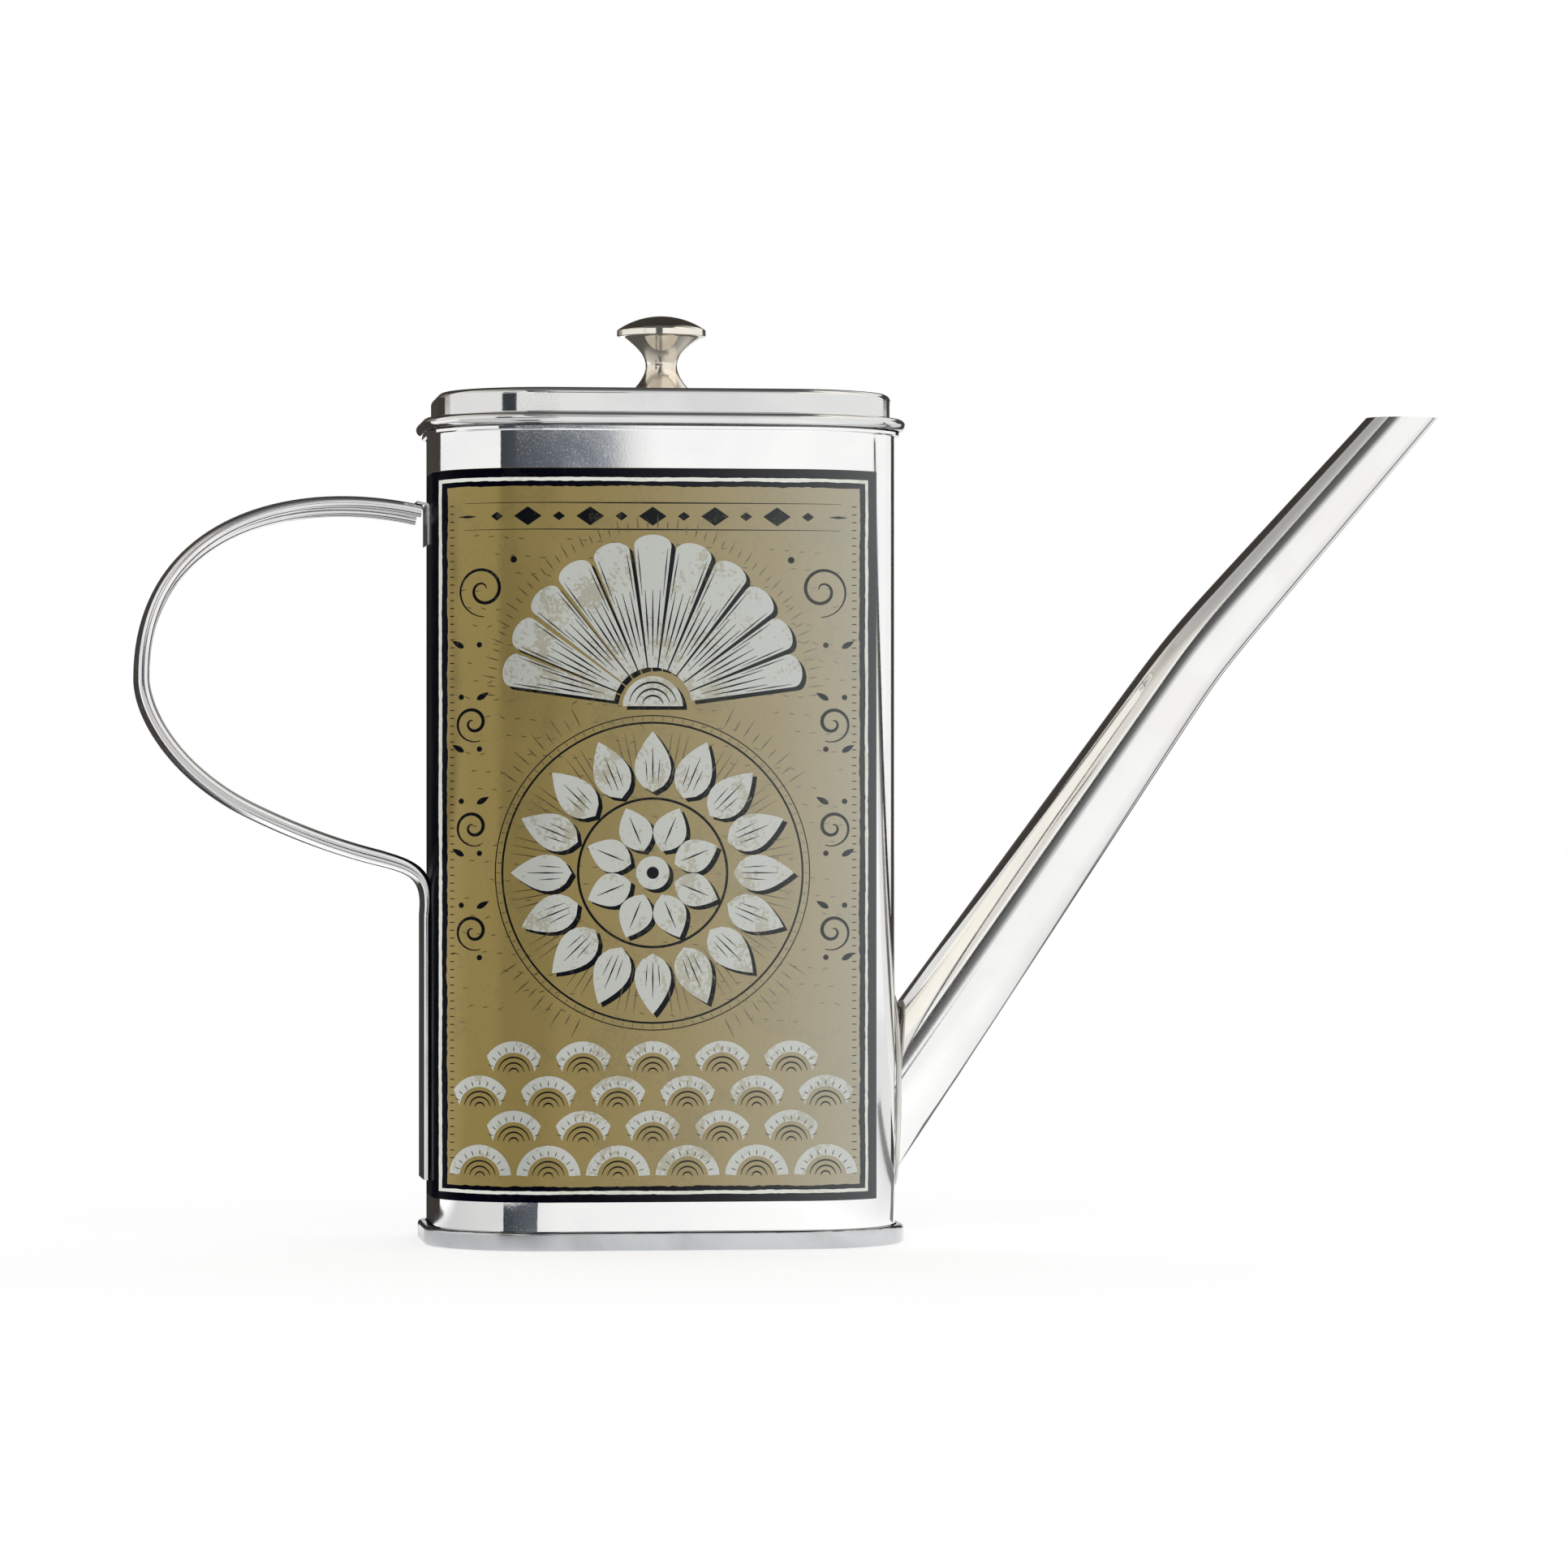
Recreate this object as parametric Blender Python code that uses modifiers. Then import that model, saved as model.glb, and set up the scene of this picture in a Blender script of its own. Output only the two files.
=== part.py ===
# Oil jug: a flat-sided steel can with a lift-off lid, a bent conical spout and a strap handle.
# Metres, +Z up. The jug stands on Z = 0, its spout points along +X, its printed front faces -Y.
# The origin lies on the table, under the middle of the whole jug from handle to spout.

import math

import bmesh
import bpy
from mathutils import Matrix, Vector
from mathutils.geometry import interpolate_bezier

# Sheet and clearances
SHEET = 0.0005
GAP = 0.0003
SMALL_RADIUS = 0.0003

# Can body
BODY_LENGTH = 0.0850
BODY_DEPTH = 0.0600
CORNER_RADIUS = 0.0210
CORNER_STEPS = 8
RIM_TOP = 0.14845
RIM_WIDTH = 0.00085
FOOT_FLANGE = 0.0006

# Base pan and its seam ring
SEAM_HEIGHT = 0.0034
SEAM_STAND_OFF = 0.0016
SEAM_EDGE_RADIUS = 0.0006
PANEL_RECESS = 0.0025

# Lid
LID_TOP = 0.15555
LID_INSET = 0.00085
LID_EDGE_RADIUS = 0.00075
LID_BEAD_RADIUS = 0.0011
TUCK_IN = 0.00005
LID_TRAVEL_PLAY = 0.00035
SKIRT_LENGTH = 0.0105
SKIRT_SWAGE_LENGTH = 0.0010

# Knob, its screw and its washer
KNOB_RIM_RADIUS = 0.0082
KNOB_RIM_BAND = 0.00125
KNOB_RIM_LEDGE = 0.0005
KNOB_DOME = 0.0026
KNOB_NECK_RADIUS = 0.0029
KNOB_NECK_HEIGHT = 0.00535
KNOB_CONE_CURVE = 2.25
KNOB_FOOT_CURVE = 1.72
KNOB_FOOT_RADIUS = 0.0058
KNOB_FOOT_BAND = 0.0006
KNOB_HEIGHT = 0.01475
SCREW_RADIUS = 0.0015
SCREW_LENGTH = 0.0095
SCREW_HEAD_RADIUS = 0.0028
SCREW_HEAD_HEIGHT = 0.0018
SCREW_SLOT_WIDTH = 0.0008
SCREW_SLOT_DEPTH = 0.0009
WASHER_RADIUS = 0.0045
WASHER_THICKNESS = 0.0008

# Spout
SPOUT_ROOT_Z = 0.0263
SPOUT_ROOT_RADIUS = 0.0090
SPOUT_BEND_RADIUS = 0.00625
SPOUT_MOUTH_RADIUS = 0.0050
SPOUT_LOWER_LENGTH = 0.1002
SPOUT_UPPER_LENGTH = 0.0597
SPOUT_LOWER_ANGLE = math.radians(54.95)
SPOUT_UPPER_ANGLE = math.radians(48.2)
SPOUT_BEND_REACH = 0.0130
SPOUT_SPARE = 0.0200
WELD_LAND = 0.0004
SOLDER_RADIUS = 0.0005

# Handle strap
STRAP_WIDTH = 0.0170
STRAP_BEAD_RADIUS = 0.00105
STRAP_CROWN = 0.0008
STRAP_STAND = 0.0020
STRAP_TOP_Z = 0.1353
STRAP_TOP_ANGLE = math.radians(12.5)
STRAP_TOP_PULL = 0.0256
STRAP_REACH = 0.0543
STRAP_WAIST_Z = 0.1034
STRAP_WAIST_PULL_UP = 0.0289
STRAP_WAIST_PULL_DOWN = 0.0078
STRAP_UNDER_REACH = 0.0337
STRAP_UNDER_Z = 0.0780
STRAP_UNDER_ANGLE = math.radians(26.0)
STRAP_UNDER_PULL = 0.0145
STRAP_HEEL_REACH = 0.01035
STRAP_HEEL_Z = 0.0693
STRAP_HEEL_ANGLE = math.radians(14.0)
STRAP_HEEL_PULL = 0.0074
TAIL_TOP_Z = 0.0600
TAIL_TOP_PULL = 0.0070
TAIL_BOTTOM_Z = 0.0117
TAIL_CROWN = 0.00005
TAIL_BEAD_RADIUS = 0.0006
TAB_WIDTH = 0.0140
TAB_BOTTOM_Z = 0.1279
TAB_BEND_RADIUS = 0.0010
TAB_TUCK = 0.00005
TAB_LAP = 0.0012

# Printed panel on the front
LABEL_THICKNESS = 0.0002
LABEL_BOTTOM_Z = 0.0087
LABEL_TOP_Z = 0.1409
LABEL_LEFT_WRAP = math.radians(88.0)
LABEL_RIGHT_WRAP = math.radians(47.0)

# Values that the pieces share
BODY_END = BODY_LENGTH / 2
SEAM_TOP_INNER = GAP
CHUCK_OUTER = -SHEET - GAP
CHUCK_INNER = CHUCK_OUTER - SHEET
FOOT_TOP = SHEET + GAP + SHEET
BEAD_BOTTOM = RIM_TOP + GAP
BEAD_CENTRE_Z = BEAD_BOTTOM + LID_BEAD_RADIUS
BEAD_CENTRE_OUT = RIM_WIDTH - TUCK_IN
LID_UNDERSIDE = LID_TOP - SHEET
SKIRT_OUTER = -LID_INSET - SHEET - GAP
KNOB_BOTTOM = LID_TOP + GAP
SCREW_HOLE = SCREW_RADIUS + GAP
WASHER_TOP = LID_UNDERSIDE - GAP
SCREW_HEAD_TOP = WASHER_TOP - WASHER_THICKNESS - GAP
SPOUT_CORNER_X = BODY_END + SPOUT_LOWER_LENGTH * math.cos(SPOUT_LOWER_ANGLE)
SPOUT_CORNER_Z = SPOUT_ROOT_Z + SPOUT_LOWER_LENGTH * math.sin(SPOUT_LOWER_ANGLE)
SPOUT_MOUTH_X = SPOUT_CORNER_X + SPOUT_UPPER_LENGTH * math.cos(SPOUT_UPPER_ANGLE)
SPOUT_MOUTH_Z = SPOUT_CORNER_Z + SPOUT_UPPER_LENGTH * math.sin(SPOUT_UPPER_ANGLE)
SPOUT_TIP_X = SPOUT_MOUTH_X + SPOUT_MOUTH_RADIUS / math.sin(SPOUT_UPPER_ANGLE)
HANDLE_TIP_X = -BODY_END - STRAP_REACH
FRAME_SHIFT = -(SPOUT_TIP_X + HANDLE_TIP_X) / 2
ROUND_STEPS = 24
SPOUT_SIDES = 20
ARC_STEPS = 4
PATH_STEPS = 9
LOOP_STEPS = 14
CONE_STEPS = 6
CROWN_STEPS = 3


def clear_scene():
    for item in list(bpy.data.objects):
        bpy.data.objects.remove(item, do_unlink=True)


def new_collection(name):
    collection = bpy.data.collections.new(name)
    bpy.context.scene.collection.children.link(collection)
    return collection


def material(name, colour, metallic, roughness):
    finish = bpy.data.materials.new(name)
    finish.use_nodes = True
    shader = finish.node_tree.nodes["Principled BSDF"]
    shader.inputs["Base Color"].default_value = (*colour, 1.0)
    shader.inputs["Metallic"].default_value = metallic
    shader.inputs["Roughness"].default_value = roughness
    return finish


def piece_from_bmesh(name, mesh_builder, finish):
    mesh = bpy.data.meshes.new(name)
    mesh_builder.to_mesh(mesh)
    mesh_builder.free()
    piece = bpy.data.objects.new(name, mesh)
    mesh.materials.append(finish)
    mesh.shade_smooth()
    mesh.set_sharp_from_angle(angle=math.radians(35))
    PARTS.objects.link(piece)
    piece.parent = FRAME
    return piece


def cutter_from_bmesh(name, mesh_builder):
    mesh = bpy.data.meshes.new(name)
    mesh_builder.to_mesh(mesh)
    mesh_builder.free()
    cutter = bpy.data.objects.new(name, mesh)
    cutter.hide_render = True
    cutter.display_type = "WIRE"
    CUTTERS.objects.link(cutter)
    cutter.parent = FRAME
    return cutter


def combine(piece, other, operation):
    boolean = piece.modifiers.new(f"{operation.lower()} {other.name}", "BOOLEAN")
    boolean.operation = operation
    boolean.solver = "EXACT"
    boolean.object = other


def solidify(piece, thickness):
    wall = piece.modifiers.new("sheet thickness", "SOLIDIFY")
    wall.thickness = thickness
    wall.offset = -1.0
    wall.use_even_offset = True


# The can's outline seen from above, a given distance outside its wall
def footprint(offset, height):
    centre_x = BODY_LENGTH / 2 - CORNER_RADIUS
    centre_y = BODY_DEPTH / 2 - CORNER_RADIUS
    radius = CORNER_RADIUS + offset
    points = []
    for quarter, (side_x, side_y) in enumerate(((1, 1), (-1, 1), (-1, -1), (1, -1))):
        for step in range(CORNER_STEPS + 1):
            turn = (quarter + step / CORNER_STEPS) * math.pi / 2
            x = side_x * centre_x + radius * math.cos(turn)
            y = side_y * centre_y + radius * math.sin(turn)
            points.append(Vector((x, y, height)))
    return points


# Points along a fillet, from one angle to another, as offset and height
def arc(centre_out, centre_z, radius, start, end, steps=ARC_STEPS):
    points = []
    for step in range(steps + 1):
        turn = math.radians(start + (end - start) * step / steps)
        points.append((centre_out + radius * math.cos(turn), centre_z + radius * math.sin(turn)))
    return points


# Joins rings of equally many points, and closes either end where asked
def loft(rings, cap_first, cap_last, closed=True):
    builder = bmesh.new()
    rows = [[builder.verts.new(point) for point in ring] for ring in rings]
    first_side = 0 if closed else 1
    for upper, lower in zip(rows, rows[1:]):
        for i in range(first_side, len(upper)):
            builder.faces.new((upper[i], upper[i - 1], lower[i - 1], lower[i]))
    if cap_first:
        builder.faces.new(rows[0])
    if cap_last:
        builder.faces.new(reversed(rows[-1]))
    return builder


# A pressed sheet piece: its outer face follows a profile of offsets and heights, top to bottom
def pressed_sheet(name, profile, finish, cap_first=False, cap_last=False):
    rings = [footprint(offset, height) for offset, height in profile]
    piece = piece_from_bmesh(name, loft(rings, cap_first, cap_last), finish)
    solidify(piece, SHEET)
    return piece


# A turned piece: radius and height pairs that run down its outer side
def turned(name, profile, finish):
    builder = bmesh.new()
    verts = [builder.verts.new((radius, 0.0, height)) for radius, height in profile]
    for upper, lower in zip(verts, verts[1:]):
        builder.edges.new((upper, lower))
    piece = piece_from_bmesh(name, builder, finish)
    screw = piece.modifiers.new("turn", "SCREW")
    screw.angle = math.tau
    screw.steps = ROUND_STEPS
    screw.render_steps = ROUND_STEPS
    screw.use_merge_vertices = True
    screw.merge_threshold = 0.00001
    screw.use_smooth_shade = True
    return piece


def rod_cutter(name, radius, low, high):
    builder = bmesh.new()
    bmesh.ops.create_cone(
        builder,
        cap_ends=True,
        segments=ROUND_STEPS,
        radius1=radius,
        radius2=radius,
        depth=high - low,
        matrix=Matrix.Translation((0.0, 0.0, (low + high) / 2)),
    )
    return cutter_from_bmesh(name, builder)


def box_cutter(name, low, high):
    centre = (Vector(low) + Vector(high)) / 2
    size = Vector(high) - Vector(low)
    builder = bmesh.new()
    bmesh.ops.create_cube(
        builder, size=1.0, matrix=Matrix.Translation(centre) @ Matrix.Diagonal((*size, 1.0))
    )
    return cutter_from_bmesh(name, builder)


# Can body

def spout_direction():
    return Vector((math.cos(SPOUT_LOWER_ANGLE), 0.0, math.sin(SPOUT_LOWER_ANGLE)))


def body_sleeve(finish):
    rim_underside = RIM_TOP - SHEET
    profile = [(RIM_WIDTH, rim_underside)]
    profile += arc(SMALL_RADIUS, rim_underside - SMALL_RADIUS, SMALL_RADIUS, 90, 180, 2)
    profile += arc(SMALL_RADIUS, FOOT_TOP + SMALL_RADIUS, SMALL_RADIUS, 180, 270, 2)
    profile.append((FOOT_FLANGE, FOOT_TOP))
    piece = pressed_sheet("body_sleeve", profile, finish)
    builder = bmesh.new()
    hole_radius = SPOUT_ROOT_RADIUS - SHEET - WELD_LAND
    direction = spout_direction()
    turn = direction.to_track_quat("Z", "Y").to_matrix().to_4x4()
    place = Matrix.Translation((BODY_END, 0.0, SPOUT_ROOT_Z)) @ turn
    bmesh.ops.create_cone(
        builder,
        cap_ends=True,
        segments=SPOUT_SIDES,
        radius1=hole_radius,
        radius2=hole_radius,
        depth=SPOUT_SPARE * 2,
        matrix=place,
    )
    combine(piece, cutter_from_bmesh("spout_hole_cutter", builder), "DIFFERENCE")
    return piece


def base_pan(finish):
    outer = SEAM_STAND_OFF
    edge = SEAM_EDGE_RADIUS
    profile = [(SEAM_TOP_INNER, SEAM_HEIGHT)]
    profile += arc(outer - edge, SEAM_HEIGHT - edge, edge, 90, 0, 3)
    profile += arc(outer - edge, edge, edge, 0, -90, 3)
    profile += arc(CHUCK_INNER + SMALL_RADIUS, SMALL_RADIUS, SMALL_RADIUS, -90, -180, 2)
    profile += arc(CHUCK_INNER - SMALL_RADIUS, PANEL_RECESS - SMALL_RADIUS, SMALL_RADIUS, 0, 90, 2)
    return pressed_sheet("base_pan", profile, finish, cap_last=True)


# Lid

def lid_cap(finish):
    crease_z = BEAD_CENTRE_Z + LID_BEAD_RADIUS
    profile = arc(-LID_INSET - LID_EDGE_RADIUS, LID_TOP - LID_EDGE_RADIUS, LID_EDGE_RADIUS, 90, 0)
    profile += arc(-LID_INSET + SMALL_RADIUS, crease_z + SMALL_RADIUS, SMALL_RADIUS, 180, 270, 2)
    profile += arc(BEAD_CENTRE_OUT, BEAD_CENTRE_Z, LID_BEAD_RADIUS, 90, -90, 8)
    piece = pressed_sheet("lid_cap", profile, finish, cap_first=True)
    drill = rod_cutter("lid_hole_cutter", SCREW_HOLE, LID_UNDERSIDE - SHEET, LID_TOP + SHEET)
    combine(piece, drill, "DIFFERENCE")
    return piece


def lid_skirt(finish):
    top = LID_TOP - LID_EDGE_RADIUS - SHEET
    bottom = top - SKIRT_LENGTH
    swage_out = -SHEET - LID_TRAVEL_PLAY
    swage_high = bottom + SKIRT_SWAGE_LENGTH * 3
    swage_low = bottom + SKIRT_SWAGE_LENGTH
    slope = SKIRT_SWAGE_LENGTH / 2
    profile = [(SKIRT_OUTER, top), (SKIRT_OUTER, swage_high + slope)]
    profile += [(swage_out, swage_high), (swage_out, swage_low)]
    profile += [(SKIRT_OUTER, swage_low - slope), (SKIRT_OUTER, bottom)]
    return pressed_sheet("lid_skirt", profile, finish)


def lid_knob(finish):
    top = KNOB_BOTTOM + KNOB_HEIGHT
    rim_high = top - KNOB_DOME
    rim_low = rim_high - KNOB_RIM_BAND
    neck_z = KNOB_BOTTOM + KNOB_NECK_HEIGHT
    foot_z = KNOB_BOTTOM + KNOB_FOOT_BAND
    sphere_radius = (KNOB_RIM_RADIUS**2 + KNOB_DOME**2) / (2 * KNOB_DOME)
    profile = []
    for step in range(CONE_STEPS + 1):
        radius = KNOB_RIM_RADIUS * step / CONE_STEPS
        profile.append((radius, top - sphere_radius + math.sqrt(sphere_radius**2 - radius**2)))
    profile.append((KNOB_RIM_RADIUS, rim_low))
    spread = KNOB_RIM_RADIUS - KNOB_RIM_LEDGE - KNOB_NECK_RADIUS
    for step in range(CONE_STEPS + 1):
        share = step / CONE_STEPS
        radius = KNOB_NECK_RADIUS + spread * (1 - share) ** KNOB_CONE_CURVE
        profile.append((radius, rim_low + (neck_z - rim_low) * share))
    foot_spread = KNOB_FOOT_RADIUS - KNOB_NECK_RADIUS
    for step in range(1, CONE_STEPS + 1):
        share = step / CONE_STEPS
        radius = KNOB_NECK_RADIUS + foot_spread * share**KNOB_FOOT_CURVE
        profile.append((radius, neck_z + (foot_z - neck_z) * share))
    profile += [(KNOB_FOOT_RADIUS, KNOB_BOTTOM), (0.0, KNOB_BOTTOM)]
    piece = turned("lid_knob", profile, finish)
    bore_top = SCREW_HEAD_TOP + SCREW_LENGTH + GAP
    combine(piece, rod_cutter("knob_bore_cutter", SCREW_HOLE, KNOB_BOTTOM - SHEET, bore_top), "DIFFERENCE")
    return piece


def knob_screw(finish):
    tip = SCREW_HEAD_TOP + SCREW_LENGTH
    chamfer = SCREW_RADIUS / 4
    head_bottom = SCREW_HEAD_TOP - SCREW_HEAD_HEIGHT
    profile = [(0.0, tip), (SCREW_RADIUS - chamfer, tip), (SCREW_RADIUS, tip - chamfer)]
    profile += [(SCREW_RADIUS, SCREW_HEAD_TOP), (SCREW_HEAD_RADIUS, SCREW_HEAD_TOP)]
    profile += [(SCREW_HEAD_RADIUS, head_bottom + SCREW_HEAD_HEIGHT / 3)]
    profile += [(SCREW_HEAD_RADIUS * 0.8, head_bottom), (0.0, head_bottom)]
    piece = turned("knob_screw", profile, finish)
    slot = box_cutter(
        "screw_slot_cutter",
        (-SCREW_HEAD_RADIUS * 2, -SCREW_SLOT_WIDTH / 2, head_bottom - SHEET),
        (SCREW_HEAD_RADIUS * 2, SCREW_SLOT_WIDTH / 2, head_bottom + SCREW_SLOT_DEPTH),
    )
    combine(piece, slot, "DIFFERENCE")
    return piece


def knob_washer(finish):
    low = WASHER_TOP - WASHER_THICKNESS
    profile = [(SCREW_HOLE, WASHER_TOP), (WASHER_RADIUS, WASHER_TOP), (WASHER_RADIUS, low)]
    profile += [(SCREW_HOLE, low), (SCREW_HOLE, WASHER_TOP)]
    return turned("knob_washer", profile, finish)


# Spout

# Centre line of the spout with the tube's radius at each point
def spout_stations():
    lower = Vector((math.cos(SPOUT_LOWER_ANGLE), 0.0, math.sin(SPOUT_LOWER_ANGLE)))
    upper = Vector((math.cos(SPOUT_UPPER_ANGLE), 0.0, math.sin(SPOUT_UPPER_ANGLE)))
    corner = Vector((SPOUT_CORNER_X, 0.0, SPOUT_CORNER_Z))
    bend_start = corner - lower * SPOUT_BEND_REACH
    bend_end = corner + upper * SPOUT_BEND_REACH
    bend = interpolate_bezier(bend_start, corner, corner, bend_end, PATH_STEPS)
    root = corner - lower * (SPOUT_LOWER_LENGTH + SPOUT_SPARE)
    mouth = corner + upper * (SPOUT_UPPER_LENGTH + SPOUT_SPARE)
    points = [root] + list(bend) + [mouth]
    lower_taper = (SPOUT_ROOT_RADIUS - SPOUT_BEND_RADIUS) / SPOUT_LOWER_LENGTH
    upper_taper = (SPOUT_BEND_RADIUS - SPOUT_MOUTH_RADIUS) / SPOUT_UPPER_LENGTH
    stations = []
    for point in points:
        along = (point - corner).dot((lower + upper).normalized())
        taper = lower_taper if along < 0 else upper_taper
        stations.append((point, SPOUT_BEND_RADIUS - along * taper))
    return stations


def tube_curve(name, stations, cyclic=False, resolution=(SPOUT_SIDES - 4) // 2):
    curve = bpy.data.curves.new(name, "CURVE")
    curve.dimensions = "3D"
    curve.bevel_depth = 1.0
    curve.bevel_resolution = resolution
    spline = curve.splines.new("POLY")
    spline.points.add(len(stations) - 1)
    spline.use_cyclic_u = cyclic
    for place, (point, radius) in zip(spline.points, stations):
        place.co = (*point, 1.0)
        place.radius = radius
    holder = bpy.data.objects.new(name, curve)
    PARTS.objects.link(holder)
    return holder


# Turns a curve into the mesh of a new object, and removes the curve
def mesh_from_curve(name, holder, finish):
    graph = bpy.context.evaluated_depsgraph_get()
    mesh = bpy.data.meshes.new_from_object(holder.evaluated_get(graph))
    builder = bmesh.new()
    builder.from_mesh(mesh)
    bmesh.ops.remove_doubles(builder, verts=builder.verts, dist=0.000001)
    bmesh.ops.recalc_face_normals(builder, faces=builder.faces)
    bpy.data.meshes.remove(mesh)
    curve = holder.data
    bpy.data.objects.remove(holder)
    bpy.data.curves.remove(curve)
    return piece_from_bmesh(name, builder, finish)


def spout_tube(finish):
    holder = tube_curve("spout_curve", spout_stations())
    piece = mesh_from_curve("spout_tube", holder, finish)
    solidify(piece, SHEET)
    spare = SPOUT_SPARE * 2
    reach = SPOUT_ROOT_RADIUS * 2
    wall = BODY_END + GAP
    root_cutter = box_cutter(
        "spout_root_cutter", (wall - spare, -reach, -spare), (wall, reach, SPOUT_ROOT_Z + spare)
    )
    mouth_cutter = box_cutter(
        "spout_mouth_cutter",
        (SPOUT_CORNER_X, -reach, SPOUT_MOUTH_Z),
        (SPOUT_MOUTH_X + spare, reach, SPOUT_MOUTH_Z + spare),
    )
    combine(piece, root_cutter, "DIFFERENCE")
    combine(piece, mouth_cutter, "DIFFERENCE")
    return piece


def spout_solder(finish):
    stand = SOLDER_RADIUS + GAP
    plane_x = BODY_END + stand
    half_width = SPOUT_ROOT_RADIUS + stand + GAP
    half_height = half_width / math.cos(SPOUT_LOWER_ANGLE)
    centre_z = SPOUT_ROOT_Z + stand * math.tan(SPOUT_LOWER_ANGLE)
    stations = []
    for step in range(ROUND_STEPS):
        turn = math.tau * step / ROUND_STEPS
        y = half_width * math.cos(turn)
        z = centre_z + half_height * math.sin(turn)
        stations.append((Vector((plane_x, y, z)), SOLDER_RADIUS))
    holder = tube_curve("solder_curve", stations, cyclic=True, resolution=1)
    return mesh_from_curve("spout_solder", holder, finish)


# Handle

# A point of the strap's outer face, a given reach from the can's end wall
def strap_knot(reach, height):
    return Vector((-BODY_END - reach, 0.0, height))


# A step toward the can that falls at the given angle
def falling(angle, length):
    return Vector((math.cos(angle) * length, 0.0, -math.sin(angle) * length))


# Outer face of the strap, from its top end round the loop and down the tail
def strap_path():
    tail_reach = GAP + 2 * TAIL_BEAD_RADIUS + TAIL_CROWN
    rise = Vector((0.0, 0.0, 1.0))
    top = strap_knot(STRAP_STAND, STRAP_TOP_Z)
    waist = strap_knot(STRAP_REACH, STRAP_WAIST_Z)
    under = strap_knot(STRAP_UNDER_REACH, STRAP_UNDER_Z)
    heel = strap_knot(STRAP_HEEL_REACH, STRAP_HEEL_Z)
    tail_top = strap_knot(tail_reach, TAIL_TOP_Z)
    straight = (heel - under).length / 3
    spans = [
        (top, -falling(STRAP_TOP_ANGLE, STRAP_TOP_PULL), rise * STRAP_WAIST_PULL_UP, waist, LOOP_STEPS),
        (waist, -rise * STRAP_WAIST_PULL_DOWN, -falling(STRAP_UNDER_ANGLE, STRAP_UNDER_PULL), under,
         PATH_STEPS),
        (under, falling(STRAP_UNDER_ANGLE, straight), -falling(STRAP_HEEL_ANGLE, straight), heel,
         PATH_STEPS),
        (heel, falling(STRAP_HEEL_ANGLE, STRAP_HEEL_PULL), rise * TAIL_TOP_PULL, tail_top, PATH_STEPS),
    ]
    path = [top]
    for start, start_pull, end_pull, end, steps in spans:
        path += interpolate_bezier(start, start + start_pull, end + end_pull, end, steps)[1:]
    path.append(strap_knot(tail_reach, TAIL_BOTTOM_Z))
    return path


# The strap's section: a crowned sheet whose edges are rolled under into beads
def strap_section(crown, bead_radius):
    half = STRAP_WIDTH / 2 - bead_radius
    inner_turn = 180 - math.degrees(math.asin((bead_radius - SHEET) / bead_radius))
    shares = [step / CROWN_STEPS for step in range(CROWN_STEPS)]
    outer = [(half * share, -crown * share**2) for share in shares]
    bead = arc(half, -crown - bead_radius, bead_radius, 90, inner_turn - 360, 8)
    inner = [(half * share, -crown * share**2 - SHEET) for share in reversed(shares)]
    right = outer + bead + inner
    left = [(-across, out) for across, out in right[1:-1]]
    return right + left[::-1]


# Each point of a path in the plane Y = 0 with the direction square to it, away from the can
def section_frames(path):
    frames = []
    last = len(path) - 1
    for i, point in enumerate(path):
        tangent = (path[min(i + 1, last)] - path[max(i - 1, 0)]).normalized()
        frames.append((point, Vector((tangent.z, 0.0, -tangent.x))))
    return frames


def place_section(section, point, outward):
    return [point + Vector((0.0, across, 0.0)) + outward * out for across, out in section]


# How far the strap has flattened at a point: none on the loop, fully on the tail
def flattening(point):
    below_heel = (STRAP_HEEL_Z - point.z) / (STRAP_HEEL_Z - TAIL_TOP_Z)
    return min(max(below_heel, 0.0), 1.0)


def handle_strap(finish):
    rings = []
    for point, outward in section_frames(strap_path()):
        flat = flattening(point)
        crown = STRAP_CROWN + (TAIL_CROWN - STRAP_CROWN) * flat
        bead_radius = STRAP_BEAD_RADIUS + (TAIL_BEAD_RADIUS - STRAP_BEAD_RADIUS) * flat
        rings.append(place_section(strap_section(crown, bead_radius), point, outward))
    piece = piece_from_bmesh("handle_strap", loft(rings, True, True), finish)
    combine(piece, tab_plate(), "UNION")
    return piece


# The tab: the strap's sheet runs on past its top end and bends down flat against the can
def tab_plate():
    thickness = SHEET - 2 * TAB_TUCK
    along = falling(STRAP_TOP_ANGLE, 1.0)
    top = strap_knot(STRAP_STAND, STRAP_TOP_Z) + Vector((along.z, 0.0, -along.x)) * TAB_TUCK
    outer_x = -BODY_END - GAP - thickness
    corner = top + along * ((outer_x - top.x) / along.x)
    bend_in = corner - along * TAB_BEND_RADIUS
    bend_out = corner - Vector((0.0, 0.0, TAB_BEND_RADIUS))
    path = [top - along * TAB_LAP, top] + interpolate_bezier(bend_in, corner, corner, bend_out, 6)
    path.append(Vector((outer_x, 0.0, TAB_BOTTOM_Z)))
    shares = [step / CROWN_STEPS for step in range(-CROWN_STEPS, CROWN_STEPS + 1)]
    rings = []
    for point, inward in section_frames(path):
        crowned = min(max((point.z - bend_out.z) / (top.z - bend_out.z), 0.0), 1.0)
        crown = STRAP_CROWN * crowned * (TAB_WIDTH / STRAP_WIDTH) ** 2
        face = [(share * TAB_WIDTH / 2, -crown * share**2) for share in shares]
        back = [(across, out - thickness) for across, out in reversed(face)]
        rings.append(place_section(face + back, point, -inward))
    return cutter_from_bmesh("handle_tab", loft(rings, True, True))


# Printed panel

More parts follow.
